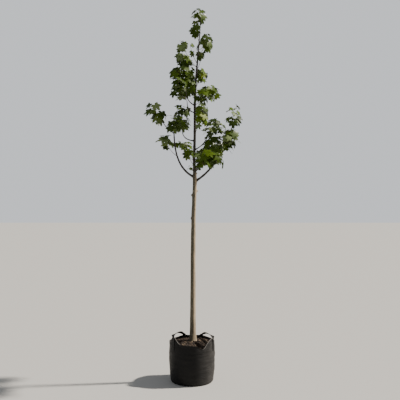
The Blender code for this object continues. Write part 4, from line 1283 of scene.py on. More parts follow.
def plan_limbs(steps=BOUGH_STEPS):
    """Every limb as name: (points, radii, the limb that carries it)."""
    limbs = {}
    carrier, place = SIDE_CARRIER
    for name, spec in BOUGHS.items():
        foot = trunk_at(spec.foot)[0]
        split = spec.split
        if split is None:
            limbs[name] = (sweep(foot, spec, 0.0, 1.0, steps),
                           taper(spec.thick, 0.0, 1.0, steps), "trunk")
            continue
        limbs[name + "_lower"] = (sweep(foot, spec, 0.0, split, steps),
                                  taper(spec.thick, 0.0, split, steps), "trunk")
        limbs[name + "_upper"] = (sweep(foot, spec, split - SPLIT_LAP, 1.0, steps),
                                  taper(spec.thick, split, 1.0, steps, SPLIT_STEP),
                                  name + "_lower")
        if name + "_upper" == carrier:
            side_foot = spline_point(sweep(foot, spec, split - SPLIT_LAP, 1.0), place)
    limbs["bough_far_left"] = (sweep(side_foot, SIDE_BOUGH, 0.0, 1.0, steps),
                               taper(SIDE_BOUGH.thick, 0.0, 1.0, steps), carrier)
    return limbs


def snag(number, height, bearing, length, thick):
    """Stub of a pruned branch: a collar, a short neck and a cut face."""
    centre, radius = trunk_at(height)
    out = compass(bearing, 1.0, 0.25).normalized()
    line = []
    radii = []
    for share, wide in ((0.0, 1.35), (0.35, 1.30), (0.62, 1.0), (0.92, 0.92), (1.0, 0.78)):
        line.append(centre + out * (0.55 * radius + (0.45 * radius + length) * share))
        radii.append(0.5 * thick * wide)

    def knobbly(ring, angle):
        return 1.0 + 0.12 * swell(math.cos(angle), math.sin(angle), ring * 0.7 + number * 5.0)

    return tube_arrays(line, radii, LIMB_VERTS, knobbly)


def make_trunk(settings):
    """Clear stem with its flare, swellings, seams and pruned snags, up to its tip."""
    trunk = unit_tube("trunk_bark", 40, TRUNK_RING_CUTS)
    low = COMPOST_TOP - 0.006
    high = TRUNK_STATIONS[-1][0]
    collars = [(spec.foot, spec.bearing, 0.5 * spec.thick[0]) for spec in BOUGHS.values()]
    collars += [(height, bearing, 0.5 * thick) for height, bearing, length, thick in STUBS]
    rings = [2.02 + 0.118 * number + 0.02 * math.sin(5.0 * number)
             for number in range(OLD_NODES)]
    for vert in trunk.data.vertices:
        height = low + (high - low) * vert.co.z
        centre, radius = trunk_at(height)
        angle = math.atan2(vert.co.y, vert.co.x)
        way = Vector((math.cos(angle), math.sin(angle), 0.0))
        share = vert.co.xy.length
        relief = bark_relief(way, height, radius, settings.bark_relief)
        for foot, bearing, half in collars:
            if abs(height - foot) < 5.0 * half:
                facing = max(0.0, way.dot(compass(bearing)))
                relief += (0.42 * half * facing ** 3
                           * bump_at(height, foot + 0.35 * half, 1.5 * half))
        for ring in rings:
            relief += 0.10 * radius * bump_at(height, ring, 0.006) * smooth(1.9, 2.1, height)
        flare = smooth(0.50, 0.385, height)
        relief += 0.10 * radius * flare * math.cos(3.0 * angle + 0.6)
        relief += 0.06 * radius * flare * math.cos(5.0 * angle + 2.0)
        vert.co = centre + way * share * (radius + relief)
        vert.co.z = height
    parts = [(*take_shape(trunk), 0)]
    for number, stub in enumerate(STUBS):
        points, faces = snag(number, *stub)
        ends = [1 if max(face) >= len(points) - 1 and len(face) == 3 else 0 for face in faces]
        parts.append((points, faces, ends))
    item = mesh_piece("trunk_bark", parts)
    smooth_faces(item, 55.0)
    cut = young_bark("old_cut_wood", CUT_WOOD, 0.5)
    finish_piece(item, [stem_bark(settings), cut], "bark", "trunk")


def bark_relief(way, height, radius, depth):
    """Height of the bark over the round stem: lumps, seams that run up it and pores."""
    stem = smooth(2.10, 1.90, height)
    size = 0.35 + 0.65 * stem
    lumps = swell(way.x * 1.2, way.y * 1.2, height * 9.0)
    seams = swell(way.x * 5.5, way.y * 5.5, height * 17.0 + 4.0)
    pores = swell(way.x * 9.0, way.y * 9.0, height * 70.0)
    return size * (0.050 * radius * lumps + depth * (1.1 * seams + 0.55 * pores))


def make_boughs(settings):
    """Each bough with a collar at its foot and a low swelling at every old node."""
    steps = 44
    # the boughs take the crown's dark colour as painted shade
    bark = young_bark("bough_bark", settings.crown_shade_colour, 0.6)
    for name, (points, radii, carrier) in plan_limbs(steps).items():
        lengths = [0.0]
        for a, b in zip(points, points[1:]):
            lengths.append(lengths[-1] + (b - a).length)
        foot = 0.0 if name.endswith("_upper") else trunk_at(points[0].z)[1]
        if name == "bough_far_left":
            foot = 0.003
        shaped = []
        for length, radius in zip(lengths, radii):
            knot = 0.13 * sum(bump_at(length, 0.05 + 0.052 * number, 0.0035)
                              for number in range(OLD_NODES))
            if name.endswith("_upper"):
                radius += SPLIT_STEP * smooth(0.0, 0.012, length)
                collar = 0.0
            else:
                collar = 0.45 * bump_at(length, foot, 0.35 * foot + 0.004)
            shaped.append(radius * (1.0 + collar + knot))

        def uneven(ring, angle):
            return 1.0 + 0.07 * swell(math.cos(angle) * 1.3, math.sin(angle) * 1.3,
                                      ring * 0.45 + len(name))

        item = mesh_piece(name + "_bark", [(*tube_arrays(points, shaped, LIMB_VERTS, uneven), 0)])
        smooth_faces(item, 60.0)
        finish_piece(item, [bark], "young_bark", name)


# ---- growth, by the source's rule and its draws ----
def tube(points, radii, resolution):
    """Scratch limb with flat ends, of the source's own shape."""
    curve = bpy.data.curves.new("limb", 'CURVE')
    curve.dimensions = '3D'
    curve.bevel_depth = 1.0
    curve.bevel_resolution = resolution
    curve.use_fill_caps = True
    spline = curve.splines.new('POLY')
    spline.points.add(len(points) - 1)
    for station, point, radius in zip(spline.points, points, radii):
        station.co = (*point, 1.0)
        station.radius = radius
    made = bpy.data.objects.new("limb", curve)
    bpy.context.scene.collection.objects.link(made)
    return made


def take_tree(item):
    """Search tree of a scratch curve, which is then removed."""
    bpy.context.view_layer.update()
    evaluated = item.evaluated_get(bpy.context.evaluated_depsgraph_get())
    mesh = bpy.data.meshes.new_from_object(evaluated)
    welded = bmesh.new()
    welded.from_mesh(mesh)
    bmesh.ops.remove_doubles(welded, verts=welded.verts, dist=WELD)
    welded.to_mesh(mesh)
    welded.free()
    tree = search_tree(mesh, item.matrix_world)
    bpy.data.objects.remove(item)
    bpy.data.meshes.remove(mesh)
    return tree


def search_tree(mesh, matrix):
    """Search tree of a mesh at a place."""
    faces = [tuple(face.vertices) for face in mesh.polygons]
    return BVHTree.FromPolygons([matrix @ vert.co for vert in mesh.vertices], faces)


def limb_tree(limbs, name, extra):
    """Search tree of a limb grown by a distance all round."""
    if name == "trunk":
        points = [Vector((x, y, z)) for z, x, y, thick in TRUNK_STATIONS]
        radii = [0.5 * station[3] + extra for station in TRUNK_STATIONS]
        points[0] = points[0] + UP * (0.0003 - extra)
        points[-1] = points[-1] + (points[-1] - points[-2]).normalized() * extra
        return take_tree(tube(points, radii, TRUNK_SIDES))
    points, radii, carrier = limbs[name]
    longer = points[:-1] + [points[-1] + (points[-1] - points[-2]).normalized() * extra]
    return take_tree(tube(longer, [radius + extra for radius in radii], BOUGH_SIDES))


def space_depth(point, name):
    """0 in the middle of a mass's ellipsoid and 1 on its surface."""
    middle, half = MASSES[name][2:4]
    return math.sqrt(sum(((point[i] - middle[i]) / half[i]) ** 2 for i in range(3)))


def in_space(point, name, reach=1.0):
    """True inside a mass's own space: in its ellipsoid and nearest to it."""
    own = space_depth(point, name)
    if own > reach:
        return False
    for other in MASSES:
        if other != name and space_depth(point, other) < own + SPACE_MARGIN:
            return False
    return True


def in_box(point):
    """True where a point is in the solids' own box or close to it."""
    low, high = CAD_BOUNDS
    return all(low[i] - FINER_PAST < point[i] < high[i] + FINER_PAST for i in range(3))


def part_way(points, share):
    """Point at a share of the way along straight stretches between points."""
    place = share * (len(points) - 1)
    index = min(int(place), len(points) - 2)
    return points[index].lerp(points[index + 1], place - index)


def stem_line(name, limbs):
    """Centre line of a mass's stem, from inside its carrier through its space."""
    carrier, place, middle, half = MASSES[name][:4]
    middle = Vector(middle)
    if carrier == "trunk":
        foot, radius = trunk_at(place)
        top = place >= TRUNK_STATIONS[-1][0]
        start = foot - UP * STEM_SUNK if top else foot
    else:
        points = limbs[carrier][0]
        start = part_way(points, min(place, 0.99))
    along = middle - start
    past, higher = STEM_PAST
    out, up = STEM_BEND
    end = middle + Vector((along.x * past, along.y * past, half[2] * higher))
    bend = start + Vector((along.x * out, along.y * out, along.z * up))
    if carrier != "trunk" and place == 1:
        tip = points[-1]
        ahead = (points[-1] - points[-2]).normalized()
        bend = tip + ahead * (STEM_AHEAD * along.length)
    if carrier == "trunk" and top:
        bend = start + (foot - trunk_at(place - 0.1)[0]).normalized() * STEM_LEAD
    return arc(start, bend, end, STEM_STEPS)


def stem_radii():
    """Radii along a stem."""
    return [0.5 * (STEM_THICK[0] + (STEM_THICK[1] - STEM_THICK[0]) * step / STEM_STEPS)
            for step in range(STEM_STEPS + 1)]


def blade_hang(droop):
    """Matrix that hangs a blade on the end of its stalk."""
    return Matrix.Translation(STALK_END) @ Matrix.Rotation(math.radians(-droop), 4, 'X')


def leaf_mesh(droop):
    """The source's plain leaf, which the rule tests for room."""
    mesh = bmesh.new()
    bmesh.ops.create_cone(mesh, cap_ends=True, cap_tris=True, segments=len(BLADE_OUTLINE),
                          radius1=1.0, radius2=0.0, depth=BLADE_THICK)
    bmesh.ops.remove_doubles(mesh, verts=mesh.verts, dist=WELD)
    rim = [vert for vert in mesh.verts if vert.co.xy.length > 0.5]
    rim.sort(key=lambda vert: math.atan2(vert.co.y, vert.co.x) % math.tau)
    for vert in mesh.verts:
        vert.co = Vector((0.0, 0.0, math.copysign(0.5 * BLADE_THICK, vert.co.z)))
    for vert, (bearing, reach) in zip(rim, BLADE_OUTLINE):
        vert.co = compass(bearing + 90.0, reach, -BLADE_CUP * reach ** 2)
    bmesh.ops.transform(mesh, matrix=blade_hang(droop), verts=mesh.verts)
    base = set(rim[BLADE_BASE:BLADE_BASE + 2])
    behind = [face for face in mesh.faces if base <= set(face.verts)]
    lower = min(behind, key=lambda face: face.calc_center_median().z)
    grown = bmesh.ops.extrude_discrete_faces(mesh, faces=[lower])["faces"][0]
    slim = 0.5 * STALK_THICK / LEAF_LENGTH
    for vert in grown.verts:
        side = next(edge.other_vert(vert).co.x for edge in vert.link_edges
                    if edge.other_vert(vert) not in grown.verts)
        if abs(side) < WELD:
            vert.co = Vector((0.0, 0.0, -slim))
        else:
            vert.co = Vector((math.copysign(0.87 * slim, side), 0.0, 0.5 * slim))
    bmesh.ops.triangulate(mesh, faces=mesh.faces)
    bmesh.ops.recalc_face_normals(mesh, faces=mesh.faces)
    data = bpy.data.meshes.new("leaf")
    mesh.to_mesh(data)
    mesh.free()
    return data


def stick_mesh():
    """The source's plain twig, which the rule tests for room."""
    mesh = bmesh.new()
    bmesh.ops.create_cone(mesh, cap_ends=True, segments=3, radius1=1.0, radius2=0.8, depth=1.0)
    bmesh.ops.translate(mesh, verts=mesh.verts, vec=(0.0, 0.0, 0.5))
    bmesh.ops.triangulate(mesh, faces=mesh.faces)
    data = bpy.data.meshes.new("stick")
    mesh.to_mesh(data)
    mesh.free()
    return data


def stick_place(start, stop, thick):
    """Matrix that lays the unit stick from one point to another."""
    along = stop - start
    turn = UP.rotation_difference(along).to_matrix().to_4x4()
    return (Matrix.Translation(start) @ turn
            @ Matrix.Diagonal((0.5 * thick, 0.5 * thick, along.length, 1.0)))


def leaf_place(root, heading, pitch, roll, length):
    """Matrix that sets the unit leaf on its root."""
    turn = (Matrix.Rotation(math.radians(heading - 90.0), 4, 'Z')
            @ Matrix.Rotation(math.radians(pitch), 4, 'X')
            @ Matrix.Rotation(math.radians(roll), 4, 'Y'))
    return Matrix.Translation(root) @ turn @ Matrix.Scale(length, 4)


def leaf_tree(mesh, matrix):
    """Search tree of a leaf whose stalk starts a little off its root, and its corners."""
    free = STALK_BARE * Vector(STALK_END)
    corners = []
    blade = []
    for vert in mesh.vertices:
        if vert.co.length < STALK_THICK / LEAF_LENGTH:
            corners.append(matrix @ (vert.co + free))
        else:
            corners.append(matrix @ vert.co)
            blade.append(corners[-1])
    faces = [tuple(face.vertices) for face in mesh.polygons]
    return BVHTree.FromPolygons(corners, faces), blade


def draw_leaves(name, length, rule, nodes, blades, draw):
    """Leaves drawn for a mass, the best first: well apart from the blades already
    there, facing the sun, and on a node that is there."""
    middle, half = MASSES[name][2:4]
    free = [node for node in nodes if len(nodes[node]) < 2] or list(nodes)
    drawn = []
    for number in range(LEAF_DRAWS):
        root = draw.choice(free)
        offset = Vector((draw.uniform(-1, 1), draw.uniform(-1, 1), draw.uniform(-1, 1)))
        heading = draw.uniform(0.0, 360.0)
        worth = 1.0
        if draw.random() > rule["shared"] and offset.length < 1.0:
            root = tuple(middle[i] + HEART * rule["reach"] * half[i] * offset[i]
                         for i in range(3))
            worth = NEW_NODE_WORTH
        elif nodes[root]:
            heading = nodes[root][0] + 180.0 + draw.gauss(0.0, PAIR_SPREAD)
        droop = draw.choice(DROOPS)
        scale = length * draw.uniform(*SIZE_RANGE)
        matrix = leaf_place(Vector(root), heading, draw.uniform(*PITCHES),
                            draw.gauss(0.0, ROLL_SPREAD), scale)
        hang = matrix @ blade_hang(droop)
        heart = hang @ Vector(BLADE_HEART)
        if in_space(heart, name, rule["reach"]):
            gap = min([(heart - other).length for other in blades] or [1.0])
            facing = 0.5 + 0.5 * hang.to_3x3().col[2].normalized().dot(SUNWARD)
            worth *= gap * (SHADE_WORTH + (1.0 - SHADE_WORTH) * facing)
            drawn.append((worth, root, heading, droop, matrix, heart))
    drawn.sort(key=lambda leaf: -leaf[0])
    return drawn


def stem_nodes(line, limbs):
    """Nodes along a stem and clear of the limbs, each with the headings of its leaves."""
    length = sum((b - a).length for a, b in zip(line, line[1:]))
    count = int(length * (1.0 - STEM_BARE) / NODE_STEP)
    shares = [STEM_BARE + (0.99 - STEM_BARE) * number / count for number in range(count + 1)]
    places = [part_way(line, share) for share in shares]
    return {tuple(place): [] for place in places
            if min(tree.find_nearest(place)[3] for tree in limbs) > NODE_CLEAR}


def grow(name, line, blocked, shapes):
    """Twigs as (start, stop) and leaves as (droop, matrix) of one mass, with its nodes,
    by the source's seeded rule, which then goes on with finer twigs and leaves."""
    count, length, seed, finer, finer_seed = MASSES[name][4:9]
    others = [tree for owner, tree in blocked.items() if owner != name]
    nodes = stem_nodes(line, [tree for owner, tree in blocked.items() if owner not in MASSES])
    twigs = []
    leaves = []
    placed = [blocked[name]]
    blades = []
    growth = (nodes, twigs, leaves, blades, placed)
    draw = random.Random("%s %d" % (name, seed))
    add_leaves(name, count, 2 * count, length, SOURCE_RULE, draw, growth, others, shapes)
    draw = random.Random("%s finer %d" % (name, finer_seed))
    add_leaves(name, finer, FINER_TRIES, FINER_LENGTH * length, FINER_RULE, draw, growth,
               others, shapes)
    return nodes, twigs, leaves, placed


def add_leaves(name, count, tries, length, rule, draw, growth, others, shapes):
    """More leaves of a mass, with the twigs that they need: a twig or leaf that would
    leave the space or touch something is skipped."""
    nodes, twigs, leaves, blades, placed = growth
    goal = len(blades) + count
    for attempt in range(tries):
        if len(blades) >= goal:
            break
        drawn = draw_leaves(name, length, rule, nodes, blades, draw)
        for worth, root, heading, droop, matrix, heart in drawn:
            twig = None
            if root not in nodes:
                near = min(nodes, key=lambda node: (Vector(node) - Vector(root)).length)
                start = Vector(near)
                stop = Vector(root)
                twig = search_tree(shapes["stick"], stick_place(start.lerp(stop, TWIG_BARE),
                                                                stop, TWIG_THICK))
                if any(twig.overlap(tree) for tree in others + placed[1:]):
                    continue
            tree, corners = leaf_tree(shapes[droop], matrix)
            if not all(in_space(corner, name, rule["reach"]) and in_box(corner)
                       for corner in corners):
                continue
            if any(tree.overlap(other) for other in others + placed):
                continue
            if twig is not None:
                twigs.append((start, stop))
                placed.append(twig)
                nodes[root] = []
                nodes[tuple(start.lerp(stop, TWIG_NODE))] = []
            nodes[root].append(heading)
            leaves.append((droop, matrix))
            blades.append(heart)
            placed.append(tree)
            break


# ---- leaves in full ----
# Half of a blade's outline as (bearing from the midrib, reach), from each sinus to the
# tip of a lobe, and the reach of the two inner corners of that lobe's rib.
MID_LOBE = ((24, 0.52), (19, 0.61), (13.5, 0.70), (13, 0.84), (5, 0.86), (0, 1.00))
SIDE_LOBE_IN = ((24, 0.52), (30, 0.60), (35, 0.77), (39, 0.70), (45, 0.80), (50, 0.92))
SIDE_LOBE_OUT = ((80, 0.46), (72, 0.53), (66, 0.73), (60, 0.68), (55, 0.79), (50, 0.92))
LOW_LOBE_IN = ((80, 0.46), (90, 0.50), (100, 0.54), (110, 0.65))
LOW_LOBE_OUT = ((165, 0.11), (150, 0.22), (138, 0.37), (128, 0.41), (120, 0.48), (110, 0.65))
LOBE_REACH = {0: 1.00, 50: 0.92, 110: 0.65}
BLADE_BACK = LOW_LOBE_OUT[0][0]
RIB_BEARINGS = (0, 50, 110, -110, -50)
RIB_REACH = {0: (0.34, 0.66), 50: (0.32, 0.60), 110: (0.20, 0.42)}
RIB_WIDTHS = (0.024, 0.012)
BLADE_HALF_THICK = (0.006, 0.005, 0.004)
STALK_RADII = (0.00125, 0.00085, 0.0007, 0.00065, 0.00065, 0.0007, 0.00085)
UPPER, RIB, UNDER, STALK = 0, 1, 2, 3


def flat_point(bearing, reach):
    """Point of a flat blade whose midrib runs along +Y."""
    angle = math.radians(bearing + 90.0)
    return (reach * math.cos(angle), reach * math.sin(angle), 0.0)


def blade_shape():
    """Flat five-lobed blade, a thin closed lens: points, faces and the kind of each face.

    Its upper side has a narrow strip along each rib, and both sides share its outline.
    """
    points = []
    index = {}

    def corner(key, place):
        if key not in index:
            index[key] = len(points)
            points.append(place)
        return index[key]

    def on_edge(bearing, reach):
        place = flat_point(bearing, reach)
        return corner((round(place[0], 6), round(place[1], 6)), place)

    faces = []
    kinds = []
    heart = corner("heart", (0.0, 0.0, BLADE_HALF_THICK[0]))
    below = corner("below", (0.0, 0.0, -BLADE_HALF_THICK[0]))
    ribs = {}
    for bearing in RIB_BEARINGS:
        reaches = RIB_REACH[abs(bearing)]
        across = Vector(flat_point(bearing + 90.0, 1.0))
        rows = []
        for level, (reach, width) in enumerate(zip(reaches, RIB_WIDTHS)):
            middle = Vector(flat_point(bearing, reach))
            lift = UP * BLADE_HALF_THICK[level + 1]
            places = (middle + across * 0.5 * width + lift,
                      middle - across * 0.5 * width + lift, middle - lift)
            rows.append([corner((bearing, level, side), place[:])
                         for side, place in enumerate(places)])
        ribs[bearing] = rows
    outline = []
    for side in (1, -1):
        for bearing, chain in ((0, MID_LOBE), (50, SIDE_LOBE_IN), (50, SIDE_LOBE_OUT),
                               (110, LOW_LOBE_IN), (110, LOW_LOBE_OUT)):
            edge = [on_edge(-angle * side, reach) for angle, reach in chain]
            outline.append((side, bearing, chain[0][0], edge))
    for side, bearing, start, edge in outline:
        rows = ribs[-bearing * side]
        to_left = side < 0 if bearing == 0 else (start - bearing) * side < 0
        for root, column, kind in ((heart, 0 if to_left else 1, UPPER), (below, 2, UNDER)):
            near, far = (row[column] for row in rows)
            made = [(root, edge[0], near), (near, edge[-4], edge[-3], far), (far, *edge[-3:])]
            if len(edge) == 6:
                made.insert(1, (near, *edge[:3]))
            faces.extend(made)
            kinds.extend([kind] * len(made))
    for bearing, rows in ribs.items():
        tip = on_edge(bearing, LOBE_REACH[abs(bearing)])
        faces.append((heart, rows[0][1], rows[0][0]))
        faces.append((rows[0][0], rows[0][1], rows[1][1], rows[1][0]))
        faces.append((rows[1][0], rows[1][1], tip))
        kinds.extend([RIB] * 3)
    first, last = (edge[0] for side, bearing, start, edge in outline if start == BLADE_BACK)
    back = corner("back", flat_point(180.0, 0.035))
    for root in (heart, below):
        faces.append((root, first, back))
        faces.append((root, back, last))
        kinds.extend([UPPER if root == heart else UNDER] * 2)
    return facing_out(points, faces, kinds)


def facing_out(points, faces, kinds):
    """The same closed shape with every face turned outward."""
    mesh = bmesh.new()
    verts = [mesh.verts.new(point) for point in points]
    for face, kind in zip(faces, kinds):
        mesh.faces.new([verts[corner] for corner in face]).material_index = kind
    mesh.verts.index_update()
    bmesh.ops.recalc_face_normals(mesh, faces=mesh.faces)
    turned = [tuple(vert.index for vert in face.verts) for face in mesh.faces]
    found = [face.material_index for face in mesh.faces]
    mesh.free()
    return np.array(points), turned, found


def curled(points, draw, side):
    """Blade bent as it grows: it falls away from its ribs' start, folds a little along
    the midrib, and its margin and tips turn up or down."""
    x, y, z = points.T
    reach = np.hypot(x, y)
    turn = np.degrees(np.arctan2(x, y))
    cup = BLADE_CUP * draw.uniform(0.75, 1.30)
    fold = draw.uniform(0.02, 0.15)
    twist = draw.gauss(0.0, 0.10)
    hook = draw.uniform(-0.06, 0.16)
    ruffle = draw.uniform(0.02, 0.05)
    phase = draw.uniform(0.0, math.tau)
    fall = -cup * reach ** 2 + fold * np.abs(x) * (1.0 - 0.5 * reach)
    fall += twist * x * y - hook * np.clip(y - 0.55, 0.0, 1.0) ** 2 * 2.0
    fall += ruffle * reach ** 3 * np.sin(np.radians(turn) * 7.0 + phase)
    lean = draw.gauss(0.0, 0.05)
    return np.stack([x + lean * reach ** 2 * side, y, z + fall], axis=1)


def as_array(matrix):
    """4x4 matrix as an array."""
    return np.array([row[:] for row in matrix])


def moved(points, matrix):
    """Points carried by a 4x4 array."""
    return points @ matrix[:3, :3].T + matrix[:3, 3]


def leaf_parts(droop, matrix, shape, draw, tint_number):
    """Blade and arched stalk of one leaf, ready to join."""
    points, faces, kinds = shape
    place = as_array(matrix)
    hang = as_array(blade_hang(droop))
    blade = moved(moved(curled(points, draw, draw.choice((-1, 1))), hang), place)
    extra = LEAF_TINTS - 1
    numbers = [tint_number if kind == UPPER else kind + extra for kind in kinds]
    end = Vector(STALK_END)
    sway = Vector((draw.gauss(0.0, 0.03), 0.5 * end.y, 0.5 * end.z + draw.uniform(0.02, 0.10)))
    length = matrix.to_scale()[0]
    line = arc(Vector(), sway, end, len(STALK_RADII) - 1)
    stalk, stalk_faces = tube_arrays(line, [radius / length for radius in STALK_RADII], 5)
    return [(blade, faces, numbers), (moved(stalk, place), stalk_faces, STALK + extra)]


@lru_cache(maxsize=None)
def bud_shape():
    """Pointed bud a unit long along +Z: points and faces."""
    item = start_piece("bud", "uv_sphere", segments=6, ring_count=5, radius=0.5)
    bpy.ops.transform.translate(value=(0.0, 0.0, 0.42))
    bpy.ops.transform.resize(value=(0.52, 0.52, 1.1), center_override=(0.0, 0.0, 0.0))
    close_up()
    points, faces = take_shape(item)
    points[:, :2] *= 1.0 - 0.55 * np.clip(points[:, 2:] - 0.35, 0.0, 1.0)
    return points, faces


def bud_part(place, way, length, finish):
    """One bud that points a way from a place."""
    points, faces = bud_shape()
    turn = as_array(UP.rotation_difference(way).to_matrix()) * length
    return points @ turn.T + np.array(place[:]), faces, finish


def bent_line(start, stop, sag, steps):
    """Slightly bowed line between two points."""
    return [start.lerp(stop, step / steps) + sag * math.sin(math.pi * step / steps)
            for step in range(steps + 1)]


def stem_part(name, line, limbs):
    """Stem of a mass through its nodes; it starts as thick as the tip that it grows
    from, or from a small collar on the trunk."""
    carrier, place = MASSES[name][:2]
    steps = 30
    points = [spline_point(line, step / steps) for step in range(steps + 1)]
    start = 0.5 * STEM_THICK[0]
    foot = 1.7 * start
    if carrier != "trunk" and place == 1:
        foot = 0.94 * limbs[carrier][1][-1]
    elif name == "leaves_tip":
        foot = 0.95 * trunk_at(place)[1]
    radii = []
    length = 0.0
    free = trunk_at(points[0].z)[1] if carrier == "trunk" else 0.0
    for index, point in enumerate(points):
        length += (point - points[max(index - 1, 0)]).length
        share = index / steps
        radius = 0.5 * (STEM_THICK[0] + (STEM_THICK[1] - STEM_THICK[0]) * share)
        radius *= 1.0 - 0.35 * smooth(0.55, 1.0, share)
        radius += (foot - start) * (1.0 - smooth(free, free + 0.022, length))
        radii.append(radius)
    return (*tube_arrays(points, radii, 8), 0)


def twig_parts(name, nodes, twigs, placed, settings):
    """Twigs, spurs and buds of a mass."""
    draw = random.Random("%s twigs" % name)
    parts = []
    for start, stop in twigs:
        sag = Vector((draw.gauss(0.0, 0.0012), draw.gauss(0.0, 0.0012), draw.gauss(0.0, 0.001)))
        along = (stop - start).normalized()
        points = bent_line(start, stop + along * 0.002, sag, 7)
        radii = [0.00135 - 0.0005 * step / 7 for step in range(8)]
        parts.append((*tube_arrays(points, radii, 6), 0))
        parts.append(bud_part(stop + along * 0.001, along, settings.bud_length, 1))
    for place, headings in nodes.items():
        centre = Vector(place)
        if headings:
            for side in (1.0, -1.0):
                way = (compass(headings[0] + 90.0 * side - 90.0, 0.6) + UP * 0.8).normalized()
                if draw.random() < 0.5:
                    parts.append(bud_part(centre + way * 0.0012, way,
                                          0.7 * settings.bud_length, 1))
            continue
        if draw.random() > 0.20:
            continue
        way = (compass(draw.uniform(0.0, 360.0), 0.8) + UP * draw.uniform(0.1, 0.9)).normalized()
        reach = settings.spur_length * draw.uniform(0.4, 1.25)
        stop = centre + way * reach
        test = search_tree(bpy.data.meshes["stick"], stick_place(centre + way * 0.004, stop,
                                                               TWIG_THICK))
        if not in_space(stop, name) or any(test.overlap(tree) for tree in placed[1:]):
            continue
        points = bent_line(centre, stop, UP * (-0.06 * reach), 4)
        parts.append((*tube_arrays(points, [0.0010, 0.0009, 0.0008, 0.0008, 0.0007], 5), 0))
        parts.append(bud_part(stop, way, settings.bud_length, 1))
        side = way.cross(UP).normalized()
        for turn in (1.0, -1.0):
            slant = (way + side * turn * 0.8).normalized()
            parts.append(bud_part(points[2], slant, 0.6 * settings.bud_length, 1))
    return parts


def young_leaves(name, line, blocked_leaves, shapes, draw):
    """Small new leaves at the tip of a mass's stem, where there is room."""
    tip = line[-1]
    heading = draw.uniform(0.0, 360.0)
    found = []
    for number in range(5):
        turn = heading + 180.0 * number + (50.0 if number > 1 else 0.0)
        length = draw.uniform(0.020, 0.036) if not name.startswith("sprout") else 0.012
        matrix = leaf_place(tip, turn, draw.uniform(25.0, 60.0), draw.gauss(0.0, 20.0), length)
        tree, corners = leaf_tree(shapes[DROOPS[0]], matrix)
        if not all(in_space(corner, name) for corner in corners):
            continue
        if any(tree.overlap(other) for other in blocked_leaves[1:]):
            continue
        blocked_leaves.append(tree)
        found.append((DROOPS[0], matrix))
    return found[:3]


def make_foliage(settings):
    """Every mass of leaves: its leaves in one piece, its stem, twigs and buds in another."""
    shapes = {droop: leaf_mesh(droop) for droop in DROOPS}
    shapes["stick"] = stick_mesh()
    limbs = plan_limbs()
    lines = {name: stem_line(name, limbs) for name in MASSES}
    blocked = {name: limb_tree(limbs, name, CLEARANCE) for name in ("trunk", *limbs)}
    for name, line in lines.items():
        blocked[name] = take_tree(tube(line, [radius + CLEARANCE for radius in stem_radii()], 0))
    finishes = [leaf_finish(name, getattr(settings, colour), rough)
                for name, colour, rough in LEAF_FINISHES]
    wood = [young_bark("twig_bark", TWIG_BROWN, 0.5), young_bark("bud_scales", BUD_BROWN, 0.4)]
    shape = blade_shape()
    for name, line in lines.items():
        nodes, twigs, leaves, placed = grow(name, line, blocked, shapes)
        draw = random.Random("%s looks" % name)
        leaves = leaves + young_leaves(name, line, placed, shapes, draw)
        shares = TINT_SHARES[MASSES[name][-1]]
        parts = []
        for droop, matrix in leaves:
            number = draw.choices(range(LEAF_TINTS), shares)[0]
            parts.extend(leaf_parts(droop, matrix, shape, draw, number))
        blades = mesh_piece(name + "_blades", parts)
        smooth_faces(blades, 50.0)
        finish_piece(blades, finishes, "leaves", name)
        parts = [stem_part(name, line, limbs)]
        parts += twig_parts(name, nodes, twigs, placed, settings)
        wooden = mesh_piece(name + "_twigs", parts)
        smooth_faces(wooden, 60.0)
        finish_piece(wooden, wood, "young_bark")
    for mesh in shapes.values():
        bpy.data.meshes.remove(mesh)


# ---- stage ----
def lamp(name, kind, place, aim, energy, spread, colour):
    """Lamp at a place that shines at a point."""
    light = bpy.data.lights.new(name, kind)
    light.energy = energy
    light.color = colour
    if kind == 'AREA':
        light.size = spread
    else:
        light.angle = spread
    item = bpy.data.objects.new(name, light)
    item.location = place
    item.rotation_mode = 'QUATERNION'
    item.rotation_quaternion = (Vector(aim) - Vector(place)).to_track_quat('-Z', 'Y')
    bpy.context.scene.collection.objects.link(item)


def make_stage(settings):
    """Pale floor, light from all round, a soft main lamp on the right, and the camera."""
    floor = start_piece("floor", "plane", size=60.0, location=(0.0, 0.0, -0.0002))
    bpy.ops.object.mode_set(mode='OBJECT')
    floor.data.materials.append(new_finish("floor_paint", settings.floor_colour, 0.85)[0])
    world = bpy.data.worlds.new("studio_air")
    world.use_nodes = True
    tree = world.node_tree
    air = tree.nodes["Background"]
    air.inputs["Color"].default_value = (*settings.air_colour, 1.0)
    rays = node(tree, "ShaderNodeLightPath")
    strength = ranged(tree, (rays, "Is Camera Ray"), 0.0, 1.0, settings.air_strength,
                      settings.backdrop)
    link(tree, strength, (air, "Strength"))
    bpy.context.scene.world = world
    lamp("key", 'SUN', (4.2, 0.5, 4.6), (0.0, 0.0, 0.0), settings.key_strength,
         math.radians(3.0), (1.0, 0.93, 0.82))
    lamp("fill", 'AREA', (-2.5, -5.0, 3.4), (0.0, 0.0, 2.0), 14.0, 3.0, (0.96, 0.98, 1.0))
    data = bpy.data.cameras.new("view")
    data.lens = LENS_MM
    data.sensor_width = 36.0
    data.clip_end = 120.0
    camera = bpy.data.objects.new("view", data)
    camera.location = EYE
    camera.rotation_euler = (math.radians(90.0 - TILT_DOWN), 0.0, 0.0)
    bpy.context.scene.collection.objects.link(camera)
    bpy.context.scene.camera = camera


# ---- operators ----
class MAPLE_OT_planter_bag(bpy.types.Operator):
    """Model the woven bag with its hem"""

    bl_idname = "maple.planter_bag"
    bl_label = "Planter bag"
    bl_options = {'REGISTER', 'UNDO'}

    def execute(self, context):
        make_bag(context.scene.maple_bag)
        return {'FINISHED'}


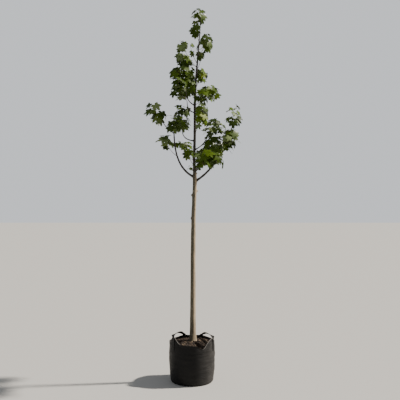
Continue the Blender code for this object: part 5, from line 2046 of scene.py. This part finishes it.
class MAPLE_OT_handles(bpy.types.Operator):
    """Model the two webbing handles and their stitches"""

    bl_idname = "maple.handles"
    bl_label = "Handles"
    bl_options = {'REGISTER', 'UNDO'}

    def execute(self, context):
        settings = context.scene.maple_handles
        finish = webbing(settings)
        thread = plain_thread("strap_thread", settings.stitch_colour)
        for name, handle in HANDLES.items():
            make_handle(name, handle, settings, finish, thread)
        return {'FINISHED'}


class MAPLE_OT_compost(bpy.types.Operator):
    """Fill the bag with compost and strew bark pieces over it"""

    bl_idname = "maple.compost"
    bl_label = "Compost"
    bl_options = {'REGISTER', 'UNDO'}

    def execute(self, context):
        make_compost(context.scene.maple_compost)
        return {'FINISHED'}


class MAPLE_OT_trunk(bpy.types.Operator):
    """Model the trunk with its bark and pruned snags"""

    bl_idname = "maple.trunk"
    bl_label = "Trunk"
    bl_options = {'REGISTER', 'UNDO'}

    def execute(self, context):
        make_trunk(context.scene.maple_bark)
        return {'FINISHED'}


class MAPLE_OT_boughs(bpy.types.Operator):
    """Model the boughs"""

    bl_idname = "maple.boughs"
    bl_label = "Boughs"
    bl_options = {'REGISTER', 'UNDO'}

    def execute(self, context):
        make_boughs(context.scene.maple_bark)
        return {'FINISHED'}


class MAPLE_OT_foliage(bpy.types.Operator):
    """Grow the stems, twigs and leaves of every mass"""

    bl_idname = "maple.foliage"
    bl_label = "Foliage"
    bl_options = {'REGISTER', 'UNDO'}

    def execute(self, context):
        make_foliage(context.scene.maple_foliage)
        return {'FINISHED'}


class MAPLE_OT_stage(bpy.types.Operator):
    """Set the floor, the light and the camera"""

    bl_idname = "maple.stage"
    bl_label = "Stage"
    bl_options = {'REGISTER', 'UNDO'}

    def execute(self, context):
        make_stage(context.scene.maple_stage)
        return {'FINISHED'}


STEPS = (
    (MAPLE_OT_planter_bag, "maple_bag", PlanterBagSettings),
    (MAPLE_OT_handles, "maple_handles", HandleSettings),
    (MAPLE_OT_compost, "maple_compost", CompostSettings),
    (MAPLE_OT_trunk, "maple_bark", BarkSettings),
    (MAPLE_OT_boughs, "maple_bark", BarkSettings),
    (MAPLE_OT_foliage, "maple_foliage", FoliageSettings),
    (MAPLE_OT_stage, "maple_stage", StageSettings),
)


class MAPLE_PT_parts(bpy.types.Panel):
    """Steps that dress the tree, each with its sizes and colours"""

    bl_label = "Maple in a bag"
    bl_idname = "MAPLE_PT_parts"
    bl_space_type = 'VIEW_3D'
    bl_region_type = 'UI'
    bl_category = "Maple"

    def draw(self, context):
        for operator, group, settings in STEPS:
            box = self.layout.box()
            box.operator(operator.bl_idname)
            for name in settings.__annotations__:
                box.prop(getattr(context.scene, group), name)


def register():
    """Register the settings, the steps and the panel."""
    groups = {group: settings for operator, group, settings in STEPS}
    for group, settings in groups.items():
        bpy.utils.register_class(settings)
        setattr(bpy.types.Scene, group, PointerProperty(type=settings))
    for operator, group, settings in STEPS:
        bpy.utils.register_class(operator)
    bpy.utils.register_class(MAPLE_PT_parts)


def unregister():
    """Take back what register did."""
    bpy.utils.unregister_class(MAPLE_PT_parts)
    groups = {group: settings for operator, group, settings in STEPS}
    for operator, group, settings in reversed(STEPS):
        bpy.utils.unregister_class(operator)
    for group, settings in groups.items():
        delattr(bpy.types.Scene, group)
        bpy.utils.unregister_class(settings)


def main():
    """Run every step."""
    register()
    for operator, group, settings in STEPS:
        family, step = operator.bl_idname.split(".")
        getattr(getattr(bpy.ops, family), step)()


if __name__ == "__main__":
    main()
